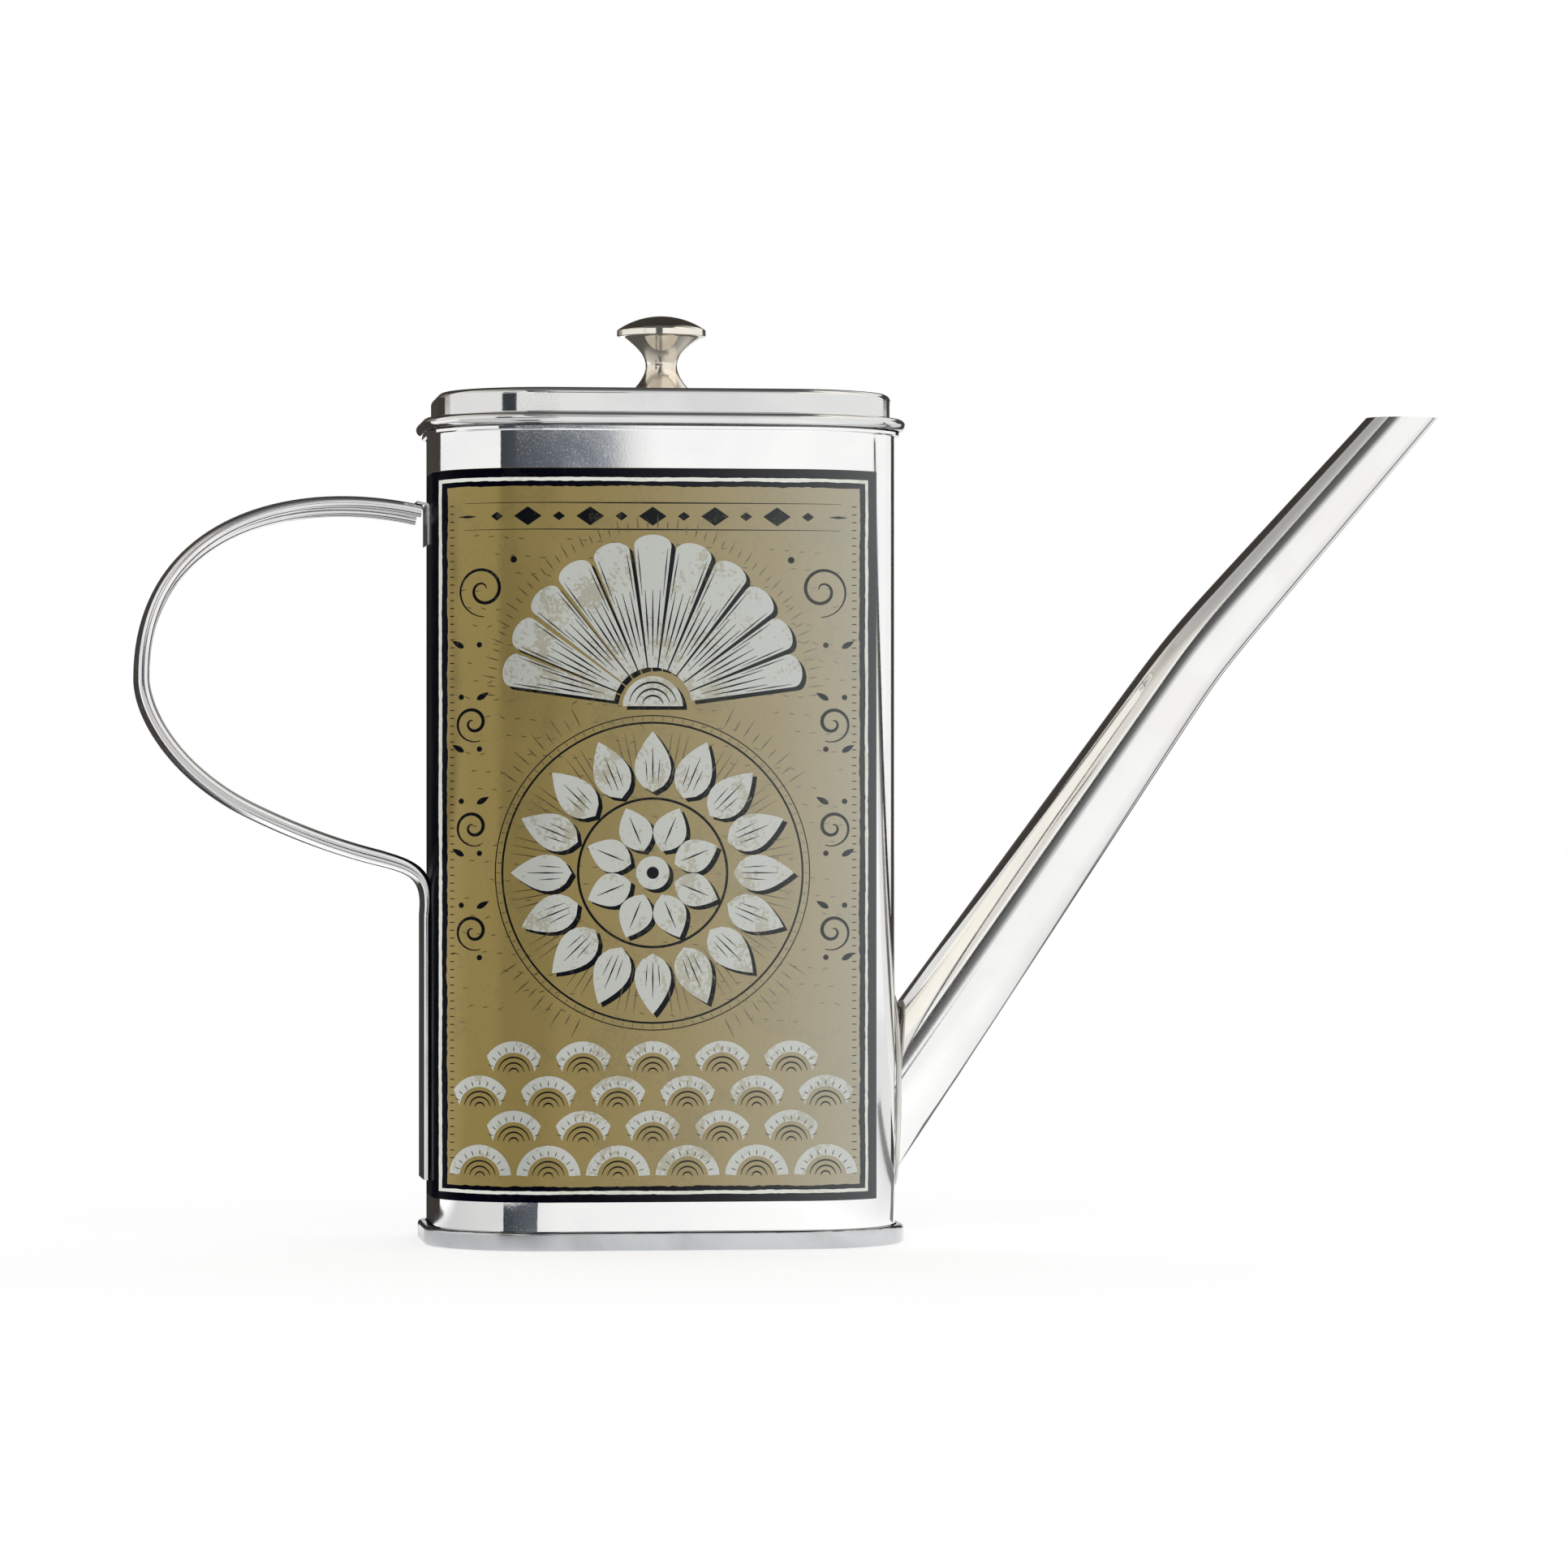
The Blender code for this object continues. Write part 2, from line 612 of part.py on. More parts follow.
def label_sheet(finish):
    centre_x = BODY_LENGTH / 2 - CORNER_RADIUS
    centre_y = BODY_DEPTH / 2 - CORNER_RADIUS
    radius = CORNER_RADIUS + GAP + LABEL_THICKNESS
    step_turn = math.pi / 2 / CORNER_STEPS
    left = [-LABEL_LEFT_WRAP]
    left += [-step_turn * i for i in range(CORNER_STEPS, -1, -1) if step_turn * i < LABEL_LEFT_WRAP]
    right = [step_turn * i for i in range(CORNER_STEPS) if step_turn * i < LABEL_RIGHT_WRAP]
    right.append(LABEL_RIGHT_WRAP)
    turns = [(-centre_x, turn) for turn in left] + [(centre_x, turn) for turn in right]
    rings = []
    for height in (LABEL_TOP_Z, LABEL_BOTTOM_Z):
        ring = []
        for corner_x, turn in turns:
            x = corner_x + radius * math.sin(turn)
            y = -centre_y - radius * math.cos(turn)
            ring.append(Vector((x, y, height)))
        rings.append(ring)
    piece = piece_from_bmesh("label_sheet", loft(rings, False, False, closed=False), finish)
    solidify(piece, LABEL_THICKNESS)
    return piece


clear_scene()
PARTS = new_collection("oil_jug")
CUTTERS = new_collection("oil_jug_cutters")
FRAME = bpy.data.objects.new("jug_frame", None)
FRAME.location = (FRAME_SHIFT, 0.0, 0.0)
PARTS.objects.link(FRAME)

body_sleeve(material("polished steel wall", (0.80, 0.80, 0.79), 1.0, 0.12))
base_pan(material("tinned steel base", (0.66, 0.67, 0.68), 1.0, 0.35))
lid_cap(material("polished steel lid", (0.80, 0.80, 0.80), 1.0, 0.15))
lid_skirt(material("plain steel skirt", (0.70, 0.70, 0.70), 1.0, 0.30))
lid_knob(material("turned nickel knob", (0.72, 0.66, 0.56), 1.0, 0.20))
knob_screw(material("zinc plated screw", (0.62, 0.63, 0.62), 1.0, 0.35))
knob_washer(material("zinc plated washer", (0.64, 0.65, 0.66), 1.0, 0.35))
spout_tube(material("polished steel spout", (0.80, 0.79, 0.76), 1.0, 0.15))
spout_solder(material("solder fillet", (0.60, 0.60, 0.58), 1.0, 0.40))
handle_strap(material("satin steel strap", (0.74, 0.74, 0.73), 1.0, 0.25))
label_sheet(material("printed lacquer panel", (0.30, 0.25, 0.12), 0.4, 0.25))
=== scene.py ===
# %% [markdown]
# # Dressing an oil jug
# The jug is a flat-sided can of polished steel with a lift-off lid, a bent conical spout, a strap
# handle and a printed front. Its solid parts come packed, in metres, standing on Z = 0 with the
# spout toward +X and the print facing -Y. This lesson loads them as a fixed frame and models each
# piece that shows once more, finely enough for polished metal, which shows every facet.

# %% Load the solid parts
import math

import bmesh
import bpy
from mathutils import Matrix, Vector, noise
from mathutils.geometry import interpolate_bezier


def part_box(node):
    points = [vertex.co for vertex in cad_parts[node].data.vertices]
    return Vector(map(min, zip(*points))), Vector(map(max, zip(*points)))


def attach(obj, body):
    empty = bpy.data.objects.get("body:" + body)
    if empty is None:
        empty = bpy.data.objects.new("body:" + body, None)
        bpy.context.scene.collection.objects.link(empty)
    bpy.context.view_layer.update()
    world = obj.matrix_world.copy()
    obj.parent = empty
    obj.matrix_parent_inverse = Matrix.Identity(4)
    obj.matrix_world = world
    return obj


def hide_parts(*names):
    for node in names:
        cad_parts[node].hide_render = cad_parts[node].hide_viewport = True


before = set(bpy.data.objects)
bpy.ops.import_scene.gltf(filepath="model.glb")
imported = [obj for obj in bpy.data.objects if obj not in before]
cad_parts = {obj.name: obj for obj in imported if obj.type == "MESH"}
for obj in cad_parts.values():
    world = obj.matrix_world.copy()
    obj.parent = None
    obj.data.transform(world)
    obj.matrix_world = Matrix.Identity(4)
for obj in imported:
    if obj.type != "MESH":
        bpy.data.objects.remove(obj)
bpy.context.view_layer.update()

# %% [markdown]
# ## Sizes that the pieces share
# The can is a rounded rectangle seen from above. Everything pressed from sheet follows that
# outline at its own distance, so the outline's sizes come first. The can's middle is read off its
# solid base, which keeps every new piece on its place in the frame.

# %% The can's outline
MM = 0.001
MICRON = 0.001 * MM
SHEET = 0.5 * MM
GAP = 0.3 * MM
SMALL_RADIUS = 0.3 * MM
CAN_LENGTH = 85.0 * MM
CAN_DEPTH = 60.0 * MM
CORNER_RADIUS = 21.0 * MM
CORNER_CUTS = 28
CORNER_X = CAN_LENGTH / 2 - CORNER_RADIUS
CORNER_Y = CAN_DEPTH / 2 - CORNER_RADIUS
CAN_END = CAN_LENGTH / 2
ring_low, ring_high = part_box("base_pan")
CAN_MIDDLE = (ring_low.x + ring_high.x) / 2
print("can's middle at x =", round(CAN_MIDDLE / MM, 2), "mm")

# %% [markdown]
# ## Helpers for modelling in edit mode
# Operators act on whatever is selected, and loading leaves the solid parts selected, so each piece
# starts with nothing selected. Verts are then picked in code, by where they lie.

# %% Start clean, and pick verts by place
TOUCH = 0.001 * MM


def deselect_all():
    if bpy.context.object is not None and bpy.context.object.mode != "OBJECT":
        bpy.ops.object.mode_set(mode="OBJECT")
    bpy.ops.object.select_all(action="DESELECT")


def choose(piece):
    deselect_all()
    piece.select_set(True)
    bpy.context.view_layer.objects.active = piece


def edit(piece):
    choose(piece)
    bpy.ops.object.mode_set(mode="EDIT")
    bpy.ops.mesh.select_mode(type="VERT")


def select_all():
    bpy.ops.mesh.select_all(action="SELECT")


def near(first, second):
    return abs(first - second) < TOUCH


def pick(piece, rule):
    bpy.ops.mesh.select_all(action="DESELECT")
    mesh = bmesh.from_edit_mesh(piece.data)
    for vert in mesh.verts:
        vert.select = rule(vert.co)
    mesh.select_flush(True)
    bmesh.update_edit_mesh(piece.data)


def extrude(step):
    bpy.ops.mesh.extrude_region_move(TRANSFORM_OT_translate={"value": step})


def slice_through(point, direction, **settings):
    select_all()
    bpy.ops.mesh.bisect(plane_co=point, plane_no=direction, **settings)


# %% [markdown]
# ## From skin to sheet
# Pressed metal is modelled as its outer skin, because that is the surface that shows. The skin is
# made to face outward and then gets its thickness inward. The faces of the inner skin are marked,
# so that a finish can leave them dull. Weighted normals keep the flat sides flat beside round
# corners, where a mirror finish would show the least bend.

# %% Face outward and thicken
def apply_modifiers(piece):
    choose(piece)
    for modifier in list(piece.modifiers):
        bpy.ops.object.modifier_apply(modifier=modifier.name)


def face_inward(some, faces):
    middle = sum((face.center for face in faces), Vector()) / len(faces)
    return sum(face.area * face.normal.dot(face.center - middle) for face in some) < 0


def flip(piece):
    edit(piece)
    select_all()
    bpy.ops.mesh.flip_normals()
    deselect_all()


def face_outward(piece):
    edit(piece)
    select_all()
    bpy.ops.mesh.remove_doubles(threshold=2 * TOUCH)
    bpy.ops.mesh.normals_make_consistent(inside=False)
    deselect_all()
    if face_inward(piece.data.polygons, piece.data.polygons):
        flip(piece)


def thicken(piece, thickness, even=True):
    wall = piece.modifiers.new("sheet thickness", "SOLIDIFY")
    wall.thickness = thickness
    wall.offset = -1.0
    wall.use_even_offset = even
    apply_modifiers(piece)


def thicken_sheet(piece):
    count = len(piece.data.polygons)
    thicken(piece, SHEET)
    faces = piece.data.polygons
    first = 0 if face_inward(faces[:count], faces) else count
    inside = piece.data.attributes.new("inside", "FLOAT", "FACE")
    for number in range(first, first + count):
        inside.data[number].value = 1.0


# %% Smooth a piece and put it in its place
def smooth(piece, angle=35):
    choose(piece)
    bpy.ops.object.shade_smooth_by_angle(angle=math.radians(angle))
    weighted = piece.modifiers.new("flat sides stay flat", "WEIGHTED_NORMAL")
    weighted.keep_sharp = True
    apply_modifiers(piece)


def put_on_can(piece, aside=0.0):
    edit(piece)
    select_all()
    bpy.ops.transform.translate(value=(CAN_MIDDLE + aside, 0.0, 0.0))
    deselect_all()


def add_object(name, data):
    piece = bpy.data.objects.new(name, data)
    bpy.context.scene.collection.objects.link(piece)
    return piece


def object_from(name, mesh):
    data = bpy.data.meshes.new(name)
    mesh.to_mesh(data)
    mesh.free()
    return add_object(name, data)


# %% [markdown]
# ## Profiles
# A pressed or turned piece is a profile carried round: a line of points, each a distance out and a
# height. A tiny plane merged to one vert is the pencil, and the vert is extruded from point to
# point.

# %% Draw a profile, with fillets
def fillet(centre_out, centre_high, radius, start, end, steps=4):
    points = []
    for step in range(steps + 1):
        turn = math.radians(start + (end - start) * step / steps)
        points.append((centre_out + radius * math.cos(turn), centre_high + radius * math.sin(turn)))
    return points


def draw_line(name, points):
    deselect_all()
    bpy.ops.mesh.primitive_plane_add(size=MM)
    piece = bpy.context.object
    piece.name = name
    piece.data.name = name
    edit(piece)
    select_all()
    bpy.ops.mesh.merge(type="CENTER")
    bpy.ops.transform.translate(value=points[0])
    for here, there in zip(points, points[1:]):
        step = [b - a for a, b in zip(here, there)]
        bpy.ops.mesh.extrude_vertices_move(TRANSFORM_OT_translate={"value": step})
    return piece


# %% [markdown]
# ## Round the can's outline
# The profile is spun a quarter turn about one corner's centre. Its two ends are pulled straight to
# the middle lines, and two mirrors make the other corners. A short first pull keeps the smooth
# shading of the corner from bleeding over the flat side, where a mirror finish would show it.

# %% Press a piece round the outline
FLAT_GUARD = 0.8 * MM
MERGE_AT_MIRROR = 0.005 * MM


def pull_straight(step_x, step_y):
    share = FLAT_GUARD / (abs(step_x) + abs(step_y))
    for part in (share, 1 - share):
        extrude((step_x * part, step_y * part, 0.0))


def press_round(name, profile):
    corner_out = CORNER_X + CORNER_RADIUS
    piece = draw_line(name, [(corner_out + out, CORNER_Y, high) for out, high in profile])
    select_all()
    centre = (CORNER_X, CORNER_Y, 0.0)
    bpy.ops.mesh.spin(steps=CORNER_CUTS, angle=-math.pi / 2, center=centre, axis=(0.0, 0.0, 1.0))
    pick(piece, lambda co: near(co.x, CORNER_X) and co.y > CORNER_Y)
    pull_straight(-CORNER_X, 0.0)
    pick(piece, lambda co: near(co.y, CORNER_Y) and co.x > CORNER_X)
    pull_straight(0.0, -CORNER_Y)
    deselect_all()
    mirror = piece.modifiers.new("four corners", "MIRROR")
    mirror.use_axis = (True, True, False)
    mirror.merge_threshold = MERGE_AT_MIRROR
    apply_modifiers(piece)
    return piece


def close_loop_at(piece, height):
    edit(piece)
    bpy.ops.mesh.select_mode(type="EDGE")
    bpy.ops.mesh.select_all(action="DESELECT")
    for edge in bmesh.from_edit_mesh(piece.data).edges:
        if edge.is_boundary and all(near(vert.co.z, height) for vert in edge.verts):
            edge.select_set(True)
    bmesh.update_edit_mesh(piece.data)
    bpy.ops.mesh.edge_face_add()
    bpy.ops.mesh.select_mode(type="VERT")
    deselect_all()


# %% [markdown]
# ## Finishes
# Each finish is a Principled BSDF whose colour, roughness and bump come from noise at the scale of
# the real surface. A few helpers keep its recipe short: one adds a node and feeds its sockets with
# links or numbers, and the others are the nodes that every recipe uses.

# %% Small helpers for building node trees
MIX_FIRST = 6
MIX_SECOND = 7
MIX_RESULT = 2


def feed(tree, node, socket, value):
    if hasattr(value, "links"):
        tree.links.new(value, node.inputs[socket])
    else:
        node.inputs[socket].default_value = value


def add(tree, kind, feeds=(), **settings):
    node = tree.nodes.new(kind)
    for name, value in settings.items():
        setattr(node, name, value)
    for socket, value in dict(feeds).items():
        feed(tree, node, socket, value)
    return node


def sum_up(tree, operation, first, second):
    return add(tree, "ShaderNodeMath", {0: first, 1: second}, operation=operation).outputs[0]


def spread(tree, value, low, high, out_low=0.0, out_high=1.0):
    feeds = {"Value": value, "From Min": low, "From Max": high, "To Min": out_low, "To Max": out_high}
    return add(tree, "ShaderNodeMapRange", feeds).outputs["Result"]


def grain(tree, place, scale, stretch=(1.0, 1.0, 1.0), detail=2.0, distortion=0.0):
    stretched = add(tree, "ShaderNodeMapping", {"Vector": place, "Scale": stretch}).outputs["Vector"]
    feeds = {"Vector": stretched, "Scale": scale, "Detail": detail, "Distortion": distortion}
    return add(tree, "ShaderNodeTexNoise", feeds).outputs["Fac"]


def axes(tree, place):
    return add(tree, "ShaderNodeSeparateXYZ", {"Vector": place}).outputs


def blend_colours(tree, mask, first, second):
    first, second = [part if hasattr(part, "links") else (*part, 1.0) for part in (first, second)]
    feeds = {"Factor": mask, MIX_FIRST: first, MIX_SECOND: second}
    return add(tree, "ShaderNodeMix", feeds, data_type="RGBA").outputs[MIX_RESULT]


def bump(tree, height, distance, **below):
    feeds = {"Strength": 1.0, "Distance": distance, "Height": height, **below}
    return add(tree, "ShaderNodeBump", feeds).outputs["Normal"]


# %% Open a finish
def open_finish(finish):
    tree = finish.node_tree
    return tree, tree.nodes["Principled BSDF"]


def object_place(tree):
    return add(tree, "ShaderNodeTexCoord").outputs["Object"]


def new_finish(name, metallic):
    finish = bpy.data.materials.new(name)
    finish.use_nodes = True
    tree, shader = open_finish(finish)
    feed(tree, shader, "Metallic", metallic)
    return finish, tree, shader


# %% [markdown]
# ## Effects that the finishes share
# Three things are on every sheet of this can: fine marks and pits from the polishing wheel, a
# cloudy film from hands, and the slight buckling of thin steel. Each is a node group, built once
# and placed in a finish with its own numbers. The marks also put out a mask of fine rougher specks.

# %% Groups of nodes
def new_group(name, outputs, **inputs):
    group = bpy.data.node_groups.new(name, "ShaderNodeTree")
    group.interface.new_socket(name="Vector", in_out="INPUT", socket_type="NodeSocketVector")
    for label, start in inputs.items():
        socket = group.interface.new_socket(name=label, in_out="INPUT", socket_type="NodeSocketFloat")
        socket.default_value = start
    for label in outputs:
        group.interface.new_socket(name=label, in_out="OUTPUT", socket_type="NodeSocketFloat")
    return group, group.nodes.new("NodeGroupInput").outputs, group.nodes.new("NodeGroupOutput")


def place_group(tree, group, place, **values):
    return add(tree, "ShaderNodeGroup", {"Vector": place, **values}, node_tree=group).outputs


# %% Polishing marks, handling and buckling
POLISH_MARKS, given, result = new_group("polish marks", ("Height", "Mask"), Scale=2500.0)
fine_marks = grain(POLISH_MARKS, given["Vector"], given["Scale"], stretch=(1.0, 1.0, 0.25), detail=3.0)
pits = grain(POLISH_MARKS, given["Vector"], given["Scale"], detail=1.0, distortion=0.6)
feed(POLISH_MARKS, result, "Height", sum_up(POLISH_MARKS, "ADD", fine_marks, pits))
specks = grain(POLISH_MARKS, given["Vector"], given["Scale"], stretch=(3.0, 3.0, 1.5), detail=1.0)
feed(POLISH_MARKS, result, "Mask", spread(POLISH_MARKS, specks, low=0.60, high=0.78))

HANDLING, given, result = new_group(
    "handling film", ("Roughness", "Mask"), Scale=60.0, Clean=0.1, Smeared=0.2
)
clouds = grain(HANDLING, given["Vector"], given["Scale"], detail=4.0, distortion=0.8)
film_mask = spread(HANDLING, clouds, low=0.40, high=0.68)
feed(HANDLING, result, "Mask", film_mask)
film_rough = spread(HANDLING, film_mask, 0.0, 1.0, given["Clean"], given["Smeared"])
feed(HANDLING, result, "Roughness", film_rough)

BUCKLING, given, result = new_group("sheet buckling", ("Height",), Scale=18.0)
feed(BUCKLING, result, "Height", grain(BUCKLING, given["Vector"], given["Scale"], detail=1.0))
print("shared effects:", [group.name for group in bpy.data.node_groups])

# %% [markdown]
# ## The steels
# Steel is described by the colour of clean metal and of its film, the roughness of both, how fine
# its polishing marks are, and the depths of marks and buckling in thousandths of a millimetre. One
# recipe with different numbers then serves every steel piece, and the pieces still differ.

# %% The steel recipe
SPECK_ROUGHNESS = 0.11


def steel(name, colour, film_colour, clean, smeared, mark_scale, mark_depth, buckle_depth):
    finish, tree, shader = new_finish(name, 1.0)
    place = object_place(tree)
    film = place_group(tree, HANDLING, place, Clean=clean, Smeared=smeared)
    marks = place_group(tree, POLISH_MARKS, place, Scale=mark_scale)
    buckles = place_group(tree, BUCKLING, place)
    feed(tree, shader, "Base Color", blend_colours(tree, film["Mask"], colour, film_colour))
    rougher_specks = sum_up(tree, "MULTIPLY", marks["Mask"], SPECK_ROUGHNESS)
    feed(tree, shader, "Roughness", sum_up(tree, "ADD", film["Roughness"], rougher_specks))
    broad = bump(tree, buckles["Height"], buckle_depth * MICRON)
    fine = bump(tree, marks["Height"], mark_depth * MICRON, Normal=broad)
    feed(tree, shader, "Normal", fine)
    return finish


# %% The metals of this can
WALL_STEEL = steel("polished wall steel", (0.88, 0.88, 0.87), (0.84, 0.84, 0.84), 0.04, 0.09, 2200, 1.0, 25)
LID_STEEL = steel("polished lid steel", (0.72, 0.72, 0.71), (0.66, 0.66, 0.66), 0.07, 0.15, 1800, 1.8, 20)
BASE_STEEL = steel("dull base steel", (0.56, 0.57, 0.58), (0.46, 0.47, 0.48), 0.15, 0.26, 1500, 1.0, 10)
SKIRT_STEEL = steel("plain skirt steel", (0.72, 0.72, 0.72), (0.64, 0.64, 0.65), 0.22, 0.34, 1500, 1.0, 10)
SPOUT_STEEL = steel("polished spout steel", (0.85, 0.85, 0.84), (0.82, 0.81, 0.79), 0.04, 0.09, 2000, 1.4, 15)
STRAP_STEEL = steel("satin strap steel", (0.80, 0.79, 0.79), (0.70, 0.69, 0.69), 0.09, 0.18, 1600, 1.2, 5)
KNOB_NICKEL = steel("turned knob nickel", (0.85, 0.81, 0.73), (0.70, 0.62, 0.50), 0.09, 0.17, 2000, 1.4, 2)
SCREW_ZINC = steel("zinc plated screw", (0.62, 0.63, 0.62), (0.50, 0.51, 0.52), 0.24, 0.40, 2500, 1.5, 2)
WASHER_ZINC = steel("zinc plated washer", (0.64, 0.65, 0.66), (0.54, 0.55, 0.56), 0.22, 0.38, 2500, 1.5, 2)
SOLDER = steel("filed solder", (0.66, 0.65, 0.62), (0.52, 0.51, 0.48), 0.25, 0.45, 900, 4.0, 20)
print("metal finishes made:", len(bpy.data.materials))

# %% [markdown]
# ## Grime and dull steel
# Such a can is polished on its outside: the inside of the wall, the base, the spout and the skirt
# stays dull, as the sheet came. Dirt gathers in the base seam. Both are added to a finished recipe,
# by taking what feeds a socket and changing it where a mask says so. The mask of the dull inside
# is the attribute that thickening left on the inner faces.

# %% Dirt in the seam, and steel left dull inside
GRIME_WANDER = 0.10 * MM
GRIME_COLOUR = (0.07, 0.07, 0.07)
INSIDE_ROUGHER = 0.35
INSIDE_METALLIC = 0.5


def add_grime(finish, low, high):
    tree, shader = open_finish(finish)
    clean = shader.inputs["Base Color"].links[0].from_socket
    place = object_place(tree)
    uneven = spread(tree, grain(tree, place, 260.0, detail=3.0), 0.35, 0.65, -GRIME_WANDER, GRIME_WANDER)
    mask = spread(tree, sum_up(tree, "ADD", axes(tree, place)["Z"], uneven), low, high)
    feed(tree, shader, "Base Color", blend_colours(tree, mask, clean, GRIME_COLOUR))


def dull_where(finish, mask, rougher, metallic):
    tree, shader = open_finish(finish)
    polished = shader.inputs["Roughness"].links[0].from_socket
    duller = sum_up(tree, "ADD", polished, sum_up(tree, "MULTIPLY", mask, rougher))
    feed(tree, shader, "Roughness", duller)
    feed(tree, shader, "Metallic", spread(tree, mask, 0.0, 1.0, 1.0, metallic))


add_grime(BASE_STEEL, 3.08 * MM, 3.3 * MM)
for sheet_finish in (WALL_STEEL, BASE_STEEL, SKIRT_STEEL, SPOUT_STEEL):
    inner_faces = add(sheet_finish.node_tree, "ShaderNodeAttribute", attribute_name="inside")
    dull_where(sheet_finish, inner_faces.outputs["Fac"], INSIDE_ROUGHER, INSIDE_METALLIC)
    print(sheet_finish.name, "is dull inside")


# %% [markdown]
# ## Handing over
# Each finished piece gets its one finish and rides on a body, so that the lid's pieces lift with the lid, and
# the solids that it stands for are hidden.

# %% Hand a finished piece to its body
def hand_over(piece, finish, body, slot, *nodes):
    piece.data.materials.clear()
    piece.data.materials.append(finish)
    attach(piece, body)
    if nodes:
        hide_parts(*nodes)
    print(piece.name, "faces:", len(piece.data.polygons))


def place_and_hand_over(piece, finish, body, slot, *nodes, angle=35):
    put_on_can(piece)
    smooth(piece, angle)
    hand_over(piece, finish, body, slot, *nodes)


# %% [markdown]
# ## The can's wall
# The real wall is one strip of steel wrapped into a tube, its mouth turned out as a narrow rim and
# its foot turned out inside the base seam. A profile of that shape is pressed round the outline.
# Its two broad sides belly out by half a millimetre, as thin sheet does, and that is what bends
# the reflections. So the skin is cut into narrow strips, and each vert is moved outward by a
# smooth curve that is nothing at the corners and near the foot.

# %% Belly out the broad sides
CROWN = 0.5 * MM
CROWN_REACH = CORNER_X + 12.0 * MM
CROWN_STEPS = 22
CROWN_FROM_Z = 3.5 * MM
CROWN_FULL_Z = 14.0 * MM
CROWN_CUTS_Z = (5.0, 7.0, 9.0, 11.5, 14.0)


def part_way(value, start, end):
    return min(max((value - start) / (end - start), 0.0), 1.0)


def crown_at(x, z):
    across = math.cos(math.pi / 2 * min(abs(x) / CROWN_REACH, 1.0)) ** 2
    up = part_way(z, CROWN_FROM_Z, CROWN_FULL_Z)
    return CROWN * across * up * up * (3 - 2 * up)


def crown_faces(piece):
    edit(piece)
    for step in range(1, CROWN_STEPS):
        slice_through((-CORNER_X + 2 * CORNER_X * step / CROWN_STEPS, 0.0, 0.0), (1.0, 0.0, 0.0))
    for height in CROWN_CUTS_Z:
        slice_through((0.0, 0.0, height * MM), (0.0, 0.0, 1.0))
    for vert in bmesh.from_edit_mesh(piece.data).verts:
        if abs(vert.co.y) > CORNER_Y:
            share = min((abs(vert.co.y) - CORNER_Y) / CORNER_RADIUS, 1.0)
            vert.co.y += math.copysign(crown_at(vert.co.x, vert.co.z) * share, vert.co.y)
    bmesh.update_edit_mesh(piece.data)
    deselect_all()


# %% [markdown]
# The hole for the spout is bored along the slant of the spout's lower length, after the wall has
# its thickness, so that the hole shows the sheet's edge. A cylinder is the drill, and a boolean
# takes it away.

# %% Wall
RIM_TOP = 148.45 * MM
RIM_WIDTH = 0.85 * MM
FOOT_FLANGE = 0.6 * MM
FOOT_TOP = 2 * SHEET + GAP
SPOUT_ROOT_Z = 26.3 * MM
SPOUT_ROOT_RADIUS = 9.0 * MM
SPOUT_LOWER_ANGLE = math.radians(54.95)
ROUND_SIDES = 64


def heading(angle):
    return Vector((math.cos(angle), 0.0, math.sin(angle)))


def drill_for_spout(piece):
    deselect_all()
    bpy.ops.mesh.primitive_cylinder_add(
        vertices=ROUND_SIDES,
        radius=SPOUT_ROOT_RADIUS - SHEET,
        depth=4 * SPOUT_ROOT_RADIUS,
        location=(CAN_END, 0.0, SPOUT_ROOT_Z),
        rotation=heading(SPOUT_LOWER_ANGLE).to_track_quat("Z", "Y").to_euler(),
    )
    drill = bpy.context.object
    hole = piece.modifiers.new("spout hole", "BOOLEAN")
    hole.operation = "DIFFERENCE"
    hole.solver = "EXACT"
    hole.object = drill
    apply_modifiers(piece)
    bpy.data.objects.remove(drill)


rim = RIM_TOP - SHEET
wall_profile = [(RIM_WIDTH, rim)]
wall_profile += fillet(SMALL_RADIUS, rim - SMALL_RADIUS, SMALL_RADIUS, 90, 180)
wall_profile += fillet(SMALL_RADIUS, FOOT_TOP + SMALL_RADIUS, SMALL_RADIUS, 180, 270)
wall_profile.append((FOOT_FLANGE, FOOT_TOP))
wall = press_round("wall", wall_profile)
face_outward(wall)
crown_faces(wall)
thicken_sheet(wall)
drill_for_spout(wall)
place_and_hand_over(wall, WALL_STEEL, "can", "wall_steel", "body_sleeve")

# %% [markdown]
# ## The base
# The bottom is a pressed pan whose edge is folded round the wall's foot. From outside only that
# folded seam shows, as a thin upright ring that the can stands on. The fold is drawn as one
# profile, and the pan's floor is a face that closes the profile's inner loop.

# %% Base pan and seam ring
SEAM_HEIGHT = 3.4 * MM
SEAM_STAND_OFF = 1.6 * MM
SEAM_EDGE_RADIUS = 0.6 * MM
SEAM_OUT = SEAM_STAND_OFF - SEAM_EDGE_RADIUS
PANEL_RECESS = 2.5 * MM
CHUCK_WALL = -2 * SHEET - GAP

